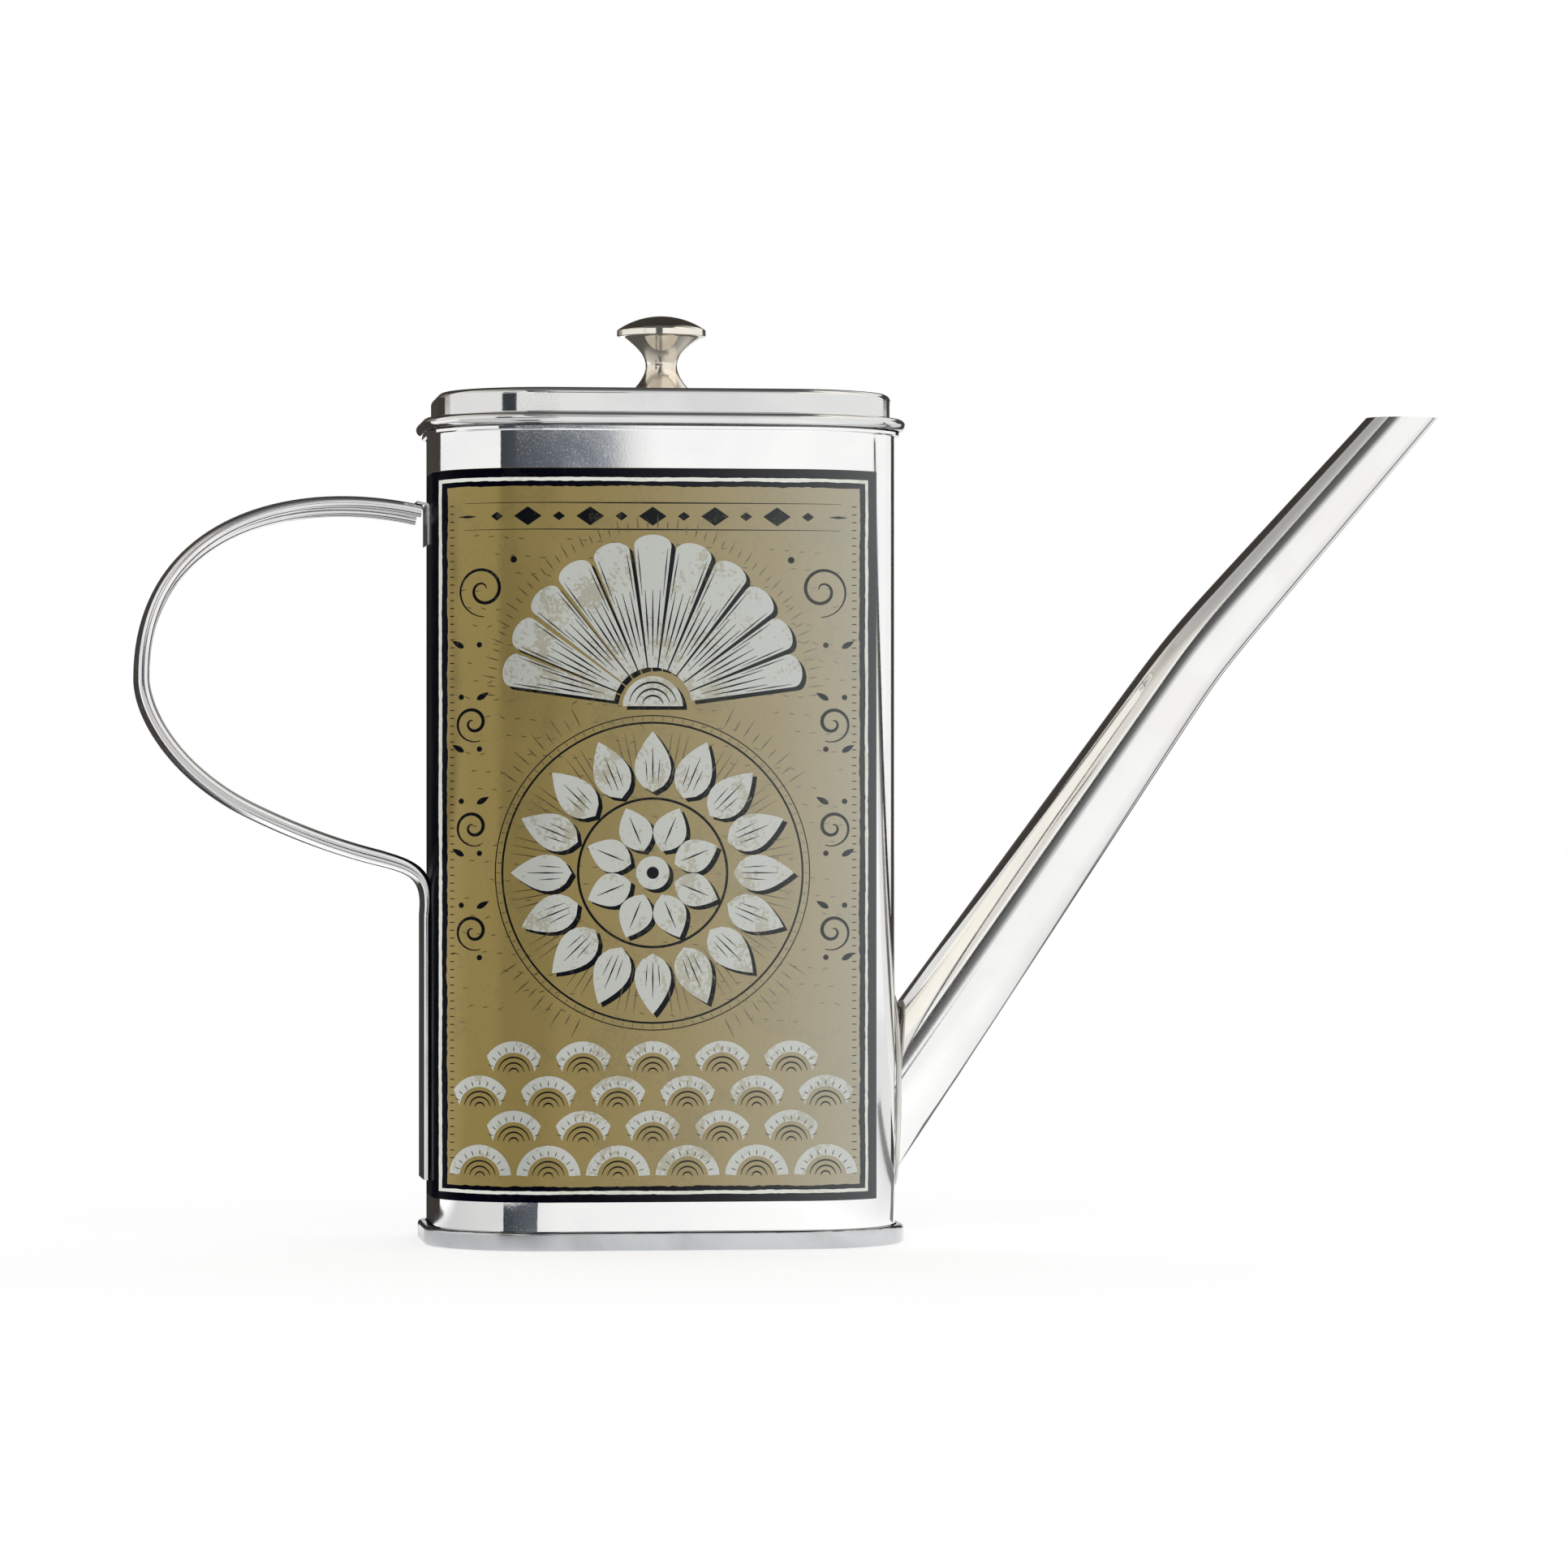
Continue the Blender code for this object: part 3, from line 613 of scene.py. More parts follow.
base_profile = [(GAP, SEAM_HEIGHT)]
base_profile += fillet(SEAM_OUT, SEAM_HEIGHT - SEAM_EDGE_RADIUS, SEAM_EDGE_RADIUS, 90, 0, steps=6)
base_profile += fillet(SEAM_OUT, SEAM_EDGE_RADIUS, SEAM_EDGE_RADIUS, 0, -90, steps=6)
base_profile += fillet(CHUCK_WALL + SMALL_RADIUS, SMALL_RADIUS, SMALL_RADIUS, -90, -180)
base_profile += fillet(CHUCK_WALL - SMALL_RADIUS, PANEL_RECESS - SMALL_RADIUS, SMALL_RADIUS, 0, 90)
base = press_round("base", base_profile)
close_loop_at(base, PANEL_RECESS)
face_outward(base)
thicken_sheet(base)
place_and_hand_over(base, BASE_STEEL, "can", "base_steel", "base_pan")

# %% [markdown]
# ## The lid
# The lid is pressed: a raised flat plateau, a short wall, a crease and a rolled bead that rests on
# the can's rim. It is one profile again, closed on top. The top is handled and wiped more than the
# rest, so its finish is scuffed: duller above the rounded edge, and unevenly so.

# %% Lid
LID_TOP = 155.55 * MM
LID_INSET = 0.85 * MM
LID_EDGE_RADIUS = 1.2 * MM
LID_BEAD_RADIUS = 1.1 * MM
TUCK_IN = 0.05 * MM
BEAD_HIGH = RIM_TOP + GAP + LID_BEAD_RADIUS
BEAD_OUT = RIM_WIDTH - TUCK_IN
PLATEAU_BORDER = 8.0 * MM

crease = BEAD_HIGH + LID_BEAD_RADIUS
edge_out = -LID_INSET - LID_EDGE_RADIUS
lid_profile = [(-LID_INSET - PLATEAU_BORDER, LID_TOP)]
lid_profile += fillet(edge_out, LID_TOP - LID_EDGE_RADIUS, LID_EDGE_RADIUS, 90, 0, steps=8)
lid_profile += fillet(-LID_INSET + SMALL_RADIUS, crease + SMALL_RADIUS, SMALL_RADIUS, 180, 270)
lid_profile += fillet(BEAD_OUT, BEAD_HIGH, LID_BEAD_RADIUS, 90, -90, steps=16)
lid = press_round("lid", lid_profile)
close_loop_at(lid, LID_TOP)
face_outward(lid)
thicken(lid, SHEET)
place_and_hand_over(lid, LID_STEEL, "lid", "lid_steel", "lid_cap")

# %% Scuff the lid's top
SCUFF_FROM_Z = LID_TOP - 0.05 * MM
SCUFF_FULL_Z = LID_TOP - 0.01 * MM
SCUFF_ROUGHER = 0.18
SCUFF_METALLIC = 0.84

tree = LID_STEEL.node_tree
place = object_place(tree)
on_top = spread(tree, axes(tree, place)["Z"], SCUFF_FROM_Z, SCUFF_FULL_Z)
uneven = spread(tree, grain(tree, place, 45.0, detail=5.0), 0.3, 0.7, 0.75, 1.0)
dull_where(LID_STEEL, sum_up(tree, "MULTIPLY", on_top, uneven), SCUFF_ROUGHER, SCUFF_METALLIC)
print("scuffed from z =", round(SCUFF_FROM_Z / MM, 2), "mm up")

# %% [markdown]
# Inside the lid a plain strip locates it in the can's mouth. A shallow swage near its lower edge
# springs against the wall. It is hidden until the lid is lifted, and then it shows.

# %% The strip inside the lid
SKIRT_OUT = -LID_INSET - SHEET - GAP
SKIRT_TOP = LID_TOP - LID_EDGE_RADIUS - SHEET
SKIRT_BOTTOM = SKIRT_TOP - 10.5 * MM
SWAGE_LENGTH = 1.0 * MM
SWAGE_OUT = -SHEET - 0.35 * MM

skirt_profile = [(SKIRT_OUT, SKIRT_TOP), (SKIRT_OUT, SKIRT_BOTTOM + 3.5 * SWAGE_LENGTH)]
skirt_profile += [(SWAGE_OUT, SKIRT_BOTTOM + 3 * SWAGE_LENGTH), (SWAGE_OUT, SKIRT_BOTTOM + SWAGE_LENGTH)]
skirt_profile += [(SKIRT_OUT, SKIRT_BOTTOM + 0.5 * SWAGE_LENGTH), (SKIRT_OUT, SKIRT_BOTTOM)]
skirt = press_round("skirt", skirt_profile)
face_outward(skirt)
thicken_sheet(skirt)
place_and_hand_over(skirt, SKIRT_STEEL, "lid", "skirt_steel", "lid_skirt")

# %% [markdown]
# ## The knob
# The knob is turned from one bar: a domed top, an upright rim band, a hollow cone down to a neck
# and a flared foot. Its profile is drawn once and spun a full turn, as the lathe does.

# %% Knob
KNOB_ASIDE = 0.35 * MM
KNOB_BOTTOM = LID_TOP + GAP
KNOB_TOP = KNOB_BOTTOM + 14.75 * MM
KNOB_RIM_RADIUS = 8.2 * MM
KNOB_RIM_BAND = 1.25 * MM
KNOB_LEDGE = 0.5 * MM
KNOB_DOME = 2.6 * MM
KNOB_RIM_LOW = KNOB_TOP - KNOB_DOME - KNOB_RIM_BAND
KNOB_NECK_RADIUS = 2.9 * MM
KNOB_NECK_Z = KNOB_BOTTOM + 5.35 * MM
KNOB_FOOT_RADIUS = 5.8 * MM
KNOB_FOOT_Z = KNOB_BOTTOM + 0.6 * MM
CONE_CURVE = 2.25
FOOT_CURVE = 1.72
KNOB_STEPS = 20
TURN_STEPS = 96
EDGE_BREAK = 0.12 * MM

ball = (KNOB_RIM_RADIUS**2 + KNOB_DOME**2) / (2 * KNOB_DOME)
cone_spread = KNOB_RIM_RADIUS - KNOB_LEDGE - KNOB_NECK_RADIUS
shares = [step / KNOB_STEPS for step in range(KNOB_STEPS + 1)]
knob_profile = []
for step in range(KNOB_STEPS + 1):
    out = (KNOB_RIM_RADIUS - EDGE_BREAK) * step / KNOB_STEPS
    knob_profile.append((out, KNOB_TOP - ball + math.sqrt(ball**2 - out**2)))
knob_profile.append((KNOB_RIM_RADIUS, KNOB_TOP - KNOB_DOME - EDGE_BREAK))
knob_profile.append((KNOB_RIM_RADIUS, KNOB_RIM_LOW + EDGE_BREAK))
knob_profile.append((KNOB_RIM_RADIUS - EDGE_BREAK, KNOB_RIM_LOW))
for share in shares:
    out = KNOB_NECK_RADIUS + cone_spread * (1 - share) ** CONE_CURVE
    knob_profile.append((out, KNOB_RIM_LOW + (KNOB_NECK_Z - KNOB_RIM_LOW) * share))
for share in shares[1:]:
    out = KNOB_NECK_RADIUS + (KNOB_FOOT_RADIUS - KNOB_NECK_RADIUS) * share**FOOT_CURVE
    knob_profile.append((out, KNOB_NECK_Z + (KNOB_FOOT_Z - KNOB_NECK_Z) * share))
knob_profile += [(KNOB_FOOT_RADIUS, KNOB_BOTTOM), (0.0, KNOB_BOTTOM)]

knob = draw_line("knob", [(out, 0.0, high) for out, high in knob_profile])
select_all()
bpy.ops.mesh.spin(steps=TURN_STEPS, angle=math.tau, center=(0.0, 0.0, 0.0), axis=(0.0, 0.0, 1.0))
put_on_can(knob, KNOB_ASIDE)
face_outward(knob)
smooth(knob, angle=28)
hand_over(knob, KNOB_NICKEL, "lid", "knob_nickel", "lid_knob")

# %% [markdown]
# ## The spout
# The real spout is a sheet cone rolled and soldered along its back, then bent. A curve with a
# radius at each point gives the tube. It is turned into a mesh, then trimmed flush with the can's
# end and level at the mouth by two cuts.

# %% Tubes from curves
def curve_to_mesh(name, curve):
    choose(add_object(name, curve))
    bpy.ops.object.convert(target="MESH")
    return bpy.context.object


def new_line(curve, points, closed):
    line = curve.splines.new("POLY")
    line.points.add(len(points) - 1)
    line.use_cyclic_u = closed
    for spot, place in zip(line.points, points):
        spot.co = (*place, 1.0)
    return line


def tube(name, stations, sides, closed=False):
    curve = bpy.data.curves.new(name, "CURVE")
    curve.dimensions = "3D"
    curve.bevel_depth = 1.0
    curve.bevel_resolution = sides // 2 - 2
    line = new_line(curve, [point for point, radius in stations], closed)
    for spot, (point, radius) in zip(line.points, stations):
        spot.radius = radius
    return curve_to_mesh(name, curve)


def cut_off(piece, point, direction):
    edit(piece)
    slice_through(point, direction, clear_outer=True)
    deselect_all()


# %% Spout
SPOUT_BEND_RADIUS = 6.25 * MM
SPOUT_MOUTH_RADIUS = 5.0 * MM
SPOUT_LOWER_LENGTH = 100.2 * MM
SPOUT_UPPER_LENGTH = 59.7 * MM
SPOUT_BEND_REACH = 20.0 * MM
SPOUT_BEND_STEPS = 24
SPOUT_SPARE = 20.0 * MM
LOWER = heading(SPOUT_LOWER_ANGLE)
UPPER = heading(math.radians(48.2))
SPOUT_CORNER = Vector((CAN_END, 0.0, SPOUT_ROOT_Z)) + LOWER * SPOUT_LOWER_LENGTH
SPOUT_MOUTH = SPOUT_CORNER + UPPER * SPOUT_UPPER_LENGTH
LOWER_TAPER = (SPOUT_ROOT_RADIUS - SPOUT_BEND_RADIUS) / SPOUT_LOWER_LENGTH
UPPER_TAPER = (SPOUT_BEND_RADIUS - SPOUT_MOUTH_RADIUS) / SPOUT_UPPER_LENGTH

bend_start = SPOUT_CORNER - LOWER * SPOUT_BEND_REACH
bend_end = SPOUT_CORNER + UPPER * SPOUT_BEND_REACH
spout_line = [SPOUT_CORNER - LOWER * (SPOUT_LOWER_LENGTH + SPOUT_SPARE)]
spout_line += interpolate_bezier(bend_start, SPOUT_CORNER, SPOUT_CORNER, bend_end, SPOUT_BEND_STEPS)
spout_line.append(SPOUT_CORNER + UPPER * (SPOUT_UPPER_LENGTH + SPOUT_SPARE))
spout_stations = []
for point in spout_line:
    along = (point - SPOUT_CORNER).dot((LOWER + UPPER).normalized())
    taper = LOWER_TAPER if along < 0 else UPPER_TAPER
    spout_stations.append((point, SPOUT_BEND_RADIUS - along * taper))
spout = tube("spout", spout_stations, ROUND_SIDES)
face_outward(spout)
thicken_sheet(spout)
cut_off(spout, (CAN_END + GAP / 3, 0.0, 0.0), (-1.0, 0.0, 0.0))
cut_off(spout, (0.0, 0.0, SPOUT_MOUTH.z), (0.0, 0.0, 1.0))
place_and_hand_over(spout, SPOUT_STEEL, "can", "spout_steel", "spout_tube")

# %% [markdown]
# ## Solder at the spout's root
# A thin fillet of filler runs round the joint and is filed nearly flush. A ring of round section,
# stretched to the slanted root, has its radius varied a little by noise, as filed solder has.

# %% Solder fillet
SOLDER_RADIUS = 0.5 * MM
SOLDER_STEPS = 72
SOLDER_SIDES = 12
SOLDER_SWELL = 0.25
SOLDER_GRAIN = 2.0 * MM

stand = SOLDER_RADIUS + GAP
half_width = SPOUT_ROOT_RADIUS + stand + GAP
half_height = half_width / math.cos(SPOUT_LOWER_ANGLE)
centre_high = SPOUT_ROOT_Z + stand * math.tan(SPOUT_LOWER_ANGLE)
solder_stations = []
for step in range(SOLDER_STEPS):
    turn = math.tau * step / SOLDER_STEPS
    high = centre_high + half_height * math.sin(turn)
    point = Vector((CAN_END + stand, half_width * math.cos(turn), high))
    swell = 1.0 + SOLDER_SWELL * noise.noise(point / SOLDER_GRAIN)
    solder_stations.append((point, SOLDER_RADIUS * swell))
solder = tube("solder", solder_stations, SOLDER_SIDES, closed=True)
face_outward(solder)
place_and_hand_over(solder, SOLDER, "can", "solder", "spout_solder")

# %% [markdown]
# ## The handle
# The handle is one strap of steel, crowned across, with both edges rolled under into beads. It
# leaves the can at a tab, runs out and round the hand, comes back to a heel and lies flat down the
# can's end as a tail. Its path is a chain of four bends between knots, read off as a row of points.

# %% Path of the strap
STRAP_STAND = 1.6 * MM
STRAP_TOP_Z = 135.3 * MM
STRAP_TOP_ANGLE = math.radians(12.5)
STRAP_TOP_PULL = 25.6 * MM
STRAP_REACH = 54.3 * MM
WAIST_Z = 103.4 * MM
WAIST_PULL_UP = 28.9 * MM
WAIST_PULL_DOWN = 7.8 * MM
UNDER_REACH = 33.7 * MM
UNDER_Z = 78.0 * MM
UNDER_ANGLE = math.radians(26.0)
UNDER_PULL = 14.5 * MM
HEEL_REACH = 10.35 * MM
HEEL_Z = 69.3 * MM
HEEL_ANGLE = math.radians(14.0)
HEEL_PULL = 7.4 * MM
TAIL_TOP_Z = 60.0 * MM
TAIL_TOP_PULL = 7.0 * MM
TAIL_BOTTOM_Z = 11.7 * MM
TAIL_CROWN = 0.05 * MM
TAIL_BEAD_RADIUS = 0.6 * MM
TAIL_REACH = GAP + 2 * TAIL_BEAD_RADIUS + TAIL_CROWN


def knot(reach, height):
    return Vector((-CAN_END - reach, 0.0, height))


def falling(angle, length):
    return Vector((math.cos(angle) * length, 0.0, -math.sin(angle) * length))


RISE = Vector((0.0, 0.0, 1.0))
top = knot(STRAP_STAND, STRAP_TOP_Z)
waist = knot(STRAP_REACH, WAIST_Z)
under = knot(UNDER_REACH, UNDER_Z)
heel = knot(HEEL_REACH, HEEL_Z)
tail_top = knot(TAIL_REACH, TAIL_TOP_Z)
run = (heel - under).length / 3
strap_spans = [
    (top, -falling(STRAP_TOP_ANGLE, STRAP_TOP_PULL), RISE * WAIST_PULL_UP, waist, 44),
    (waist, -RISE * WAIST_PULL_DOWN, -falling(UNDER_ANGLE, UNDER_PULL), under, 26),
    (under, falling(UNDER_ANGLE, run), -falling(HEEL_ANGLE, run), heel, 20),
    (heel, falling(HEEL_ANGLE, HEEL_PULL), RISE * TAIL_TOP_PULL, tail_top, 24),
]
strap_path = [top]
for start, start_pull, end_pull, end, steps in strap_spans:
    strap_path += interpolate_bezier(start, start + start_pull, end + end_pull, end, steps)[1:]
strap_path.append(knot(TAIL_REACH, TAIL_BOTTOM_Z))
print("strap points:", len(strap_path))

# %% [markdown]
# The strap's section is half drawn and then mirrored: the crown, the bead that rolls under, and
# back along the inner side. It is drawn anew at each point of the path, so that it can turn a
# little toward the top and flatten where the tail lies on the can. The sections are then joined
# with faces, because no operator carries a changing section along a path.

# %% Section of the strap
STRAP_WIDTH = 17.0 * MM
STRAP_ROLL = math.radians(3.0)
STRAP_CROWN = 0.8 * MM
BEAD_RADIUS = 1.05 * MM
BEAD_STEPS = 18
CROWN_SHARES = [step / 6 for step in range(6)]


def strap_section(crown, bead):
    half = STRAP_WIDTH / 2 - bead
    inner_turn = 180 - math.degrees(math.asin((bead - SHEET) / bead))
    outer = [(half * share, -crown * share**2) for share in CROWN_SHARES]
    roll = fillet(half, -crown - bead, bead, 90, inner_turn - 360, BEAD_STEPS)
    inner = [(half * share, -crown * share**2 - SHEET) for share in reversed(CROWN_SHARES)]
    right = outer + roll + inner
    left = [(-across, out) for across, out in right[1:-1]]
    return right + left[::-1]


def loft(name, rings):
    mesh = bmesh.new()
    rows = [[mesh.verts.new(point) for point in ring] for ring in rings]
    for upper, lower in zip(rows, rows[1:]):
        for i in range(len(upper)):
            mesh.faces.new((upper[i], upper[i - 1], lower[i - 1], lower[i]))
    mesh.faces.new(rows[0])
    mesh.faces.new(reversed(rows[-1]))
    return object_from(name, mesh)


# %% Strap
sections = []
for number, point in enumerate(strap_path):
    ahead = strap_path[min(number + 1, len(strap_path) - 1)]
    tangent = (ahead - strap_path[max(number - 1, 0)]).normalized()
    outward = Vector((tangent.z, 0.0, -tangent.x))
    flat = part_way(point.z, HEEL_Z, TAIL_TOP_Z)
    roll = STRAP_ROLL * part_way(point.z, WAIST_Z, STRAP_TOP_Z)
    aside = Vector((0.0, math.cos(roll), 0.0)) - outward * math.sin(roll)
    crown = STRAP_CROWN + (TAIL_CROWN - STRAP_CROWN) * flat
    bead = BEAD_RADIUS + (TAIL_BEAD_RADIUS - BEAD_RADIUS) * flat
    section = strap_section(crown, bead)
    sections.append([point + aside * across + outward * out for across, out in section])
strap = loft("strap", sections)
face_outward(strap)
place_and_hand_over(strap, STRAP_STEEL, "can", "strap_steel", "handle_strap", angle=40)

# %% [markdown]
# At its top end the strap turns down into a flat tab that is welded to the can. Its line, seen from
# the side, bends round a small corner. The line is extruded across into a strip.

# %% Tab at the strap's top end
TAB_WIDTH = 14.0 * MM
TAB_BOTTOM_Z = 127.9 * MM
TAB_BEND = 0.55 * MM
TAB_BEND_STEPS = 10
TAB_TUCK = 1.2 * MM
TAB_DROP = Vector((0.0, 0.0, 0.1 * MM))
TAB_X = -CAN_END - GAP - SHEET


def largest_face(piece):
    return max(piece.data.polygons, key=lambda face: face.area)


along = falling(STRAP_TOP_ANGLE, 1.0)
tab_top = knot(STRAP_STAND, STRAP_TOP_Z) - TAB_DROP
corner = tab_top + along * ((TAB_X - tab_top.x) / along.x)
tab_path = [tab_top - along * TAB_TUCK, tab_top]
bend_end = corner - RISE * TAB_BEND
tab_path += interpolate_bezier(corner - along * TAB_BEND, corner, corner, bend_end, TAB_BEND_STEPS)
tab_path.append(Vector((TAB_X, 0.0, TAB_BOTTOM_Z)))
tab = draw_line("tab", [Vector((point.x, -TAB_WIDTH / 2, point.z)) for point in tab_path])
select_all()
extrude((0.0, TAB_WIDTH, 0.0))
face_outward(tab)
if largest_face(tab).normal.x > 0:
    flip(tab)
thicken(tab, SHEET)
place_and_hand_over(tab, STRAP_STEEL, "can", "strap_steel")

# %% [markdown]
# ## The printed panel
# On the real can the front is printed straight on the steel and lacquered. Here it is a thin skin
# that wraps the front and both front corners. On the handle's side it runs on over the narrow end
# and under the strap's tail, and there it lies closer to the wall, to stay clear of the strap.

# %% Where the panel lies
LABEL_OUT = 0.45 * MM
LABEL_CLOSE = 0.25 * MM
LABEL_END_Y = 4.6 * MM
LABEL_LEFT_WRAP = math.radians(90.0)
LABEL_RIGHT_WRAP = math.radians(47.0)
CLOSER_FROM = math.radians(50)


def left_out(turn, out):
    return out - (LABEL_OUT - LABEL_CLOSE) * part_way(turn, CLOSER_FROM, LABEL_LEFT_WRAP)


def left_point(turn, out):
    reach = CORNER_RADIUS + left_out(turn, out)
    return -CORNER_X - reach * math.sin(turn), -CORNER_Y - reach * math.cos(turn)


def right_point(turn, out):
    reach = CORNER_RADIUS + out
    return CORNER_X + reach * math.sin(turn), -CORNER_Y - reach * math.cos(turn)


# %% [markdown]
# Print rubs, and tiny chips of it are gone, which is real wear. Toward the spout the print is painted paler,
# a painted sheen of the bright light on that side. Both are masks from one node group, and each ink gives its
# own strength, so that dark inks stay dark near the handle. An ink's finish blends its colour with a rubbed
# one, and then with the painted sheen.

# %% Painted sheen and rubbed ink
SHEEN_REACH = 38.0 * MM
SHEEN_EASE = 2.2
# painted sheen: the pale grey that inks are painted toward on the spout's side
PAINTED_SHEEN_COLOUR = (0.62, 0.66, 0.66)
INK_MARK_SCALE = 1800.0
INK_SHINE = 0.1

PAINTED_SHEEN_AND_RUBBING, given, result = new_group(
    "painted sheen and rubbed print", ("Painted sheen", "Rubbed"), Washed=0.1, Rubbed=0.5, Ease=SHEEN_EASE
)
place = given["Vector"]
# painted sheen: a ramp along X paints the print paler toward the spout
sheen_ramp = spread(PAINTED_SHEEN_AND_RUBBING, axes(PAINTED_SHEEN_AND_RUBBING, place)["X"], CAN_MIDDLE - SHEEN_REACH, CAN_MIDDLE + SHEEN_REACH)
eased = sum_up(PAINTED_SHEEN_AND_RUBBING, "POWER", sheen_ramp, given["Ease"])
feed(PAINTED_SHEEN_AND_RUBBING, result, "Painted sheen", sum_up(PAINTED_SHEEN_AND_RUBBING, "MULTIPLY", eased, given["Washed"]))
patches = spread(PAINTED_SHEEN_AND_RUBBING, grain(PAINTED_SHEEN_AND_RUBBING, place, 110.0, detail=3.0, distortion=1.0), 0.45, 0.75, 0.0, 0.4)
chips = sum_up(PAINTED_SHEEN_AND_RUBBING, "ADD", patches, grain(PAINTED_SHEEN_AND_RUBBING, place, 1500.0, detail=4.0))
chip_mask = spread(PAINTED_SHEEN_AND_RUBBING, chips, low=0.66, high=0.74)
feed(PAINTED_SHEEN_AND_RUBBING, result, "Rubbed", sum_up(PAINTED_SHEEN_AND_RUBBING, "MULTIPLY", chip_mask, given["Rubbed"]))
print("painted sheen on the print spreads over", round(2 * SHEEN_REACH / MM), "mm")


def print_ink(name, colour, under, rubbed, sheen, metallic, clean, smeared, ease=SHEEN_EASE, shine=INK_SHINE):
    finish, tree, shader = new_finish(name, metallic)
    place = object_place(tree)
    film = place_group(tree, HANDLING, place, Clean=clean, Smeared=smeared)
    sheen_and_wear = place_group(tree, PAINTED_SHEEN_AND_RUBBING, place, Washed=sheen, Rubbed=rubbed, Ease=ease)
    marks = place_group(tree, POLISH_MARKS, place, Scale=INK_MARK_SCALE)
    worn = blend_colours(tree, sheen_and_wear["Rubbed"], colour, under)
    # after its real rubbed wear, each ink is blended toward the painted sheen
    feed(tree, shader, "Base Color", blend_colours(tree, sheen_and_wear["Painted sheen"], worn, PAINTED_SHEEN_COLOUR))
    feed(tree, shader, "Roughness", film["Roughness"])
    feed(tree, shader, "Specular IOR Level", shine)
    feed(tree, shader, "Normal", bump(tree, marks["Height"], 1.5 * MICRON))
    return finish


# %% The inks
DARK = {"ease": 3.0, "shine": 0.008}
GOLD_PRINT = print_ink(
    "gold print", (0.285, 0.215, 0.072), (0.24, 0.185, 0.07), 0.6, 0.46, 0.34, 0.18, 0.30
)
DARK_GOLD_PRINT = print_ink(
    "dark gold print", (0.075, 0.058, 0.024), (0.2, 0.16, 0.06), 0.6, 0.40, 0.2, 0.20, 0.30
)
NAVY_PRINT = print_ink(
    "navy print", (0.001, 0.001, 0.0045), (0.012, 0.012, 0.014), 0.3, 0.185, 0.0, 0.20, 0.30, **DARK
)
INK_PRINT = print_ink(
    "dark ink print", (0.004, 0.005, 0.007), (0.05, 0.045, 0.03), 0.5, 0.185, 0.0, 0.22, 0.32, **DARK
)
LINE_PRINT = print_ink(
    "light line print", (0.76, 0.77, 0.70), (0.60, 0.60, 0.50), 0.5, 0.0, 0.0, 0.26, 0.36
)
WHITE_PRINT = print_ink(
    "off-white print", (0.52, 0.53, 0.49), (0.36, 0.34, 0.24), 0.7, 0.35, 0.34, 0.24, 0.34
)
print("finishes made:", len(bpy.data.materials))

# %% Label skin
LABEL_THICKNESS = 0.1 * MM
LABEL_BOTTOM = 8.7 * MM
LABEL_TOP = 140.9 * MM

cuts = range(CORNER_CUTS + 1)
label_line = [(-CAN_END - left_out(LABEL_LEFT_WRAP, LABEL_OUT), LABEL_END_Y)]
label_line += [left_point(LABEL_LEFT_WRAP * (1 - cut / CORNER_CUTS), LABEL_OUT) for cut in cuts]
label_line += [right_point(LABEL_RIGHT_WRAP * cut / CORNER_CUTS, LABEL_OUT) for cut in cuts]
label = draw_line("label", [(x, y, LABEL_BOTTOM) for x, y in label_line])
select_all()
extrude((0.0, 0.0, LABEL_TOP - LABEL_BOTTOM))
face_outward(label)
crown_faces(label)
if largest_face(label).normal.y > 0:
    flip(label)
thicken(label, LABEL_THICKNESS)
place_and_hand_over(label, GOLD_PRINT, "can", "label_print", "label_sheet")

# %% [markdown]
# ## Laying out the print
# The print's shapes are drawn flat, as a printer would, in millimetres across from the can's
# middle and up from the table. Across is measured as the panel is looked at, from slightly toward
# the handle, so that a border reads straight although it bends round the corners. Each flat shape
# is filled as a 2D curve, made a mesh, cut into narrow strips and laid on the wall.

# %% From flat to the wall's curve
PRINT_TURN = math.radians(6.7)
PRINT_SIN = math.sin(PRINT_TURN)
PRINT_COS = math.cos(PRINT_TURN)
END_ACROSS = -CAN_END * PRINT_COS + CORNER_Y * PRINT_SIN


def wall_point(across, out):
    radius = CORNER_RADIUS + out
    y = -CORNER_Y - radius
    x = (across + y * PRINT_SIN) / PRINT_COS
    if x < -CORNER_X:
        centre = -CORNER_X * PRINT_COS + CORNER_Y * PRINT_SIN
        turn = PRINT_TURN + math.asin(min((centre - across) / radius, 1.0))
        if turn >= LABEL_LEFT_WRAP or across < END_ACROSS:
            end_x = -CAN_END - left_out(LABEL_LEFT_WRAP, out)
            return end_x, (end_x * PRINT_COS - across) / PRINT_SIN
        return left_point(turn, out)
    if x > CORNER_X:
        centre = CORNER_X * PRINT_COS + CORNER_Y * PRINT_SIN
        return right_point(math.asin(min((across - centre) / radius, 1.0)) - PRINT_TURN, out)
    return x, y


def across_of(side, turn):
    x, y = right_point(math.radians(turn), LABEL_OUT)
    return (side * x * PRINT_COS - y * PRINT_SIN) / MM


# %% Fill a flat shape and cut it into strips
STRIP_TURN = 3
FLAT_STRIPS = 14
STRIP_LINES = [across_of(-1, turn) for turn in range(0, 90, STRIP_TURN)]
STRIP_LINES += [across_of(1, turn) for turn in range(0, 49, STRIP_TURN)]
flat_end, flat_start = across_of(1, 0), across_of(-1, 0)
STRIP_LINES += [flat_end - (flat_end - flat_start) * k / FLAT_STRIPS for k in range(1, FLAT_STRIPS)]
print("strip lines:", len(STRIP_LINES))


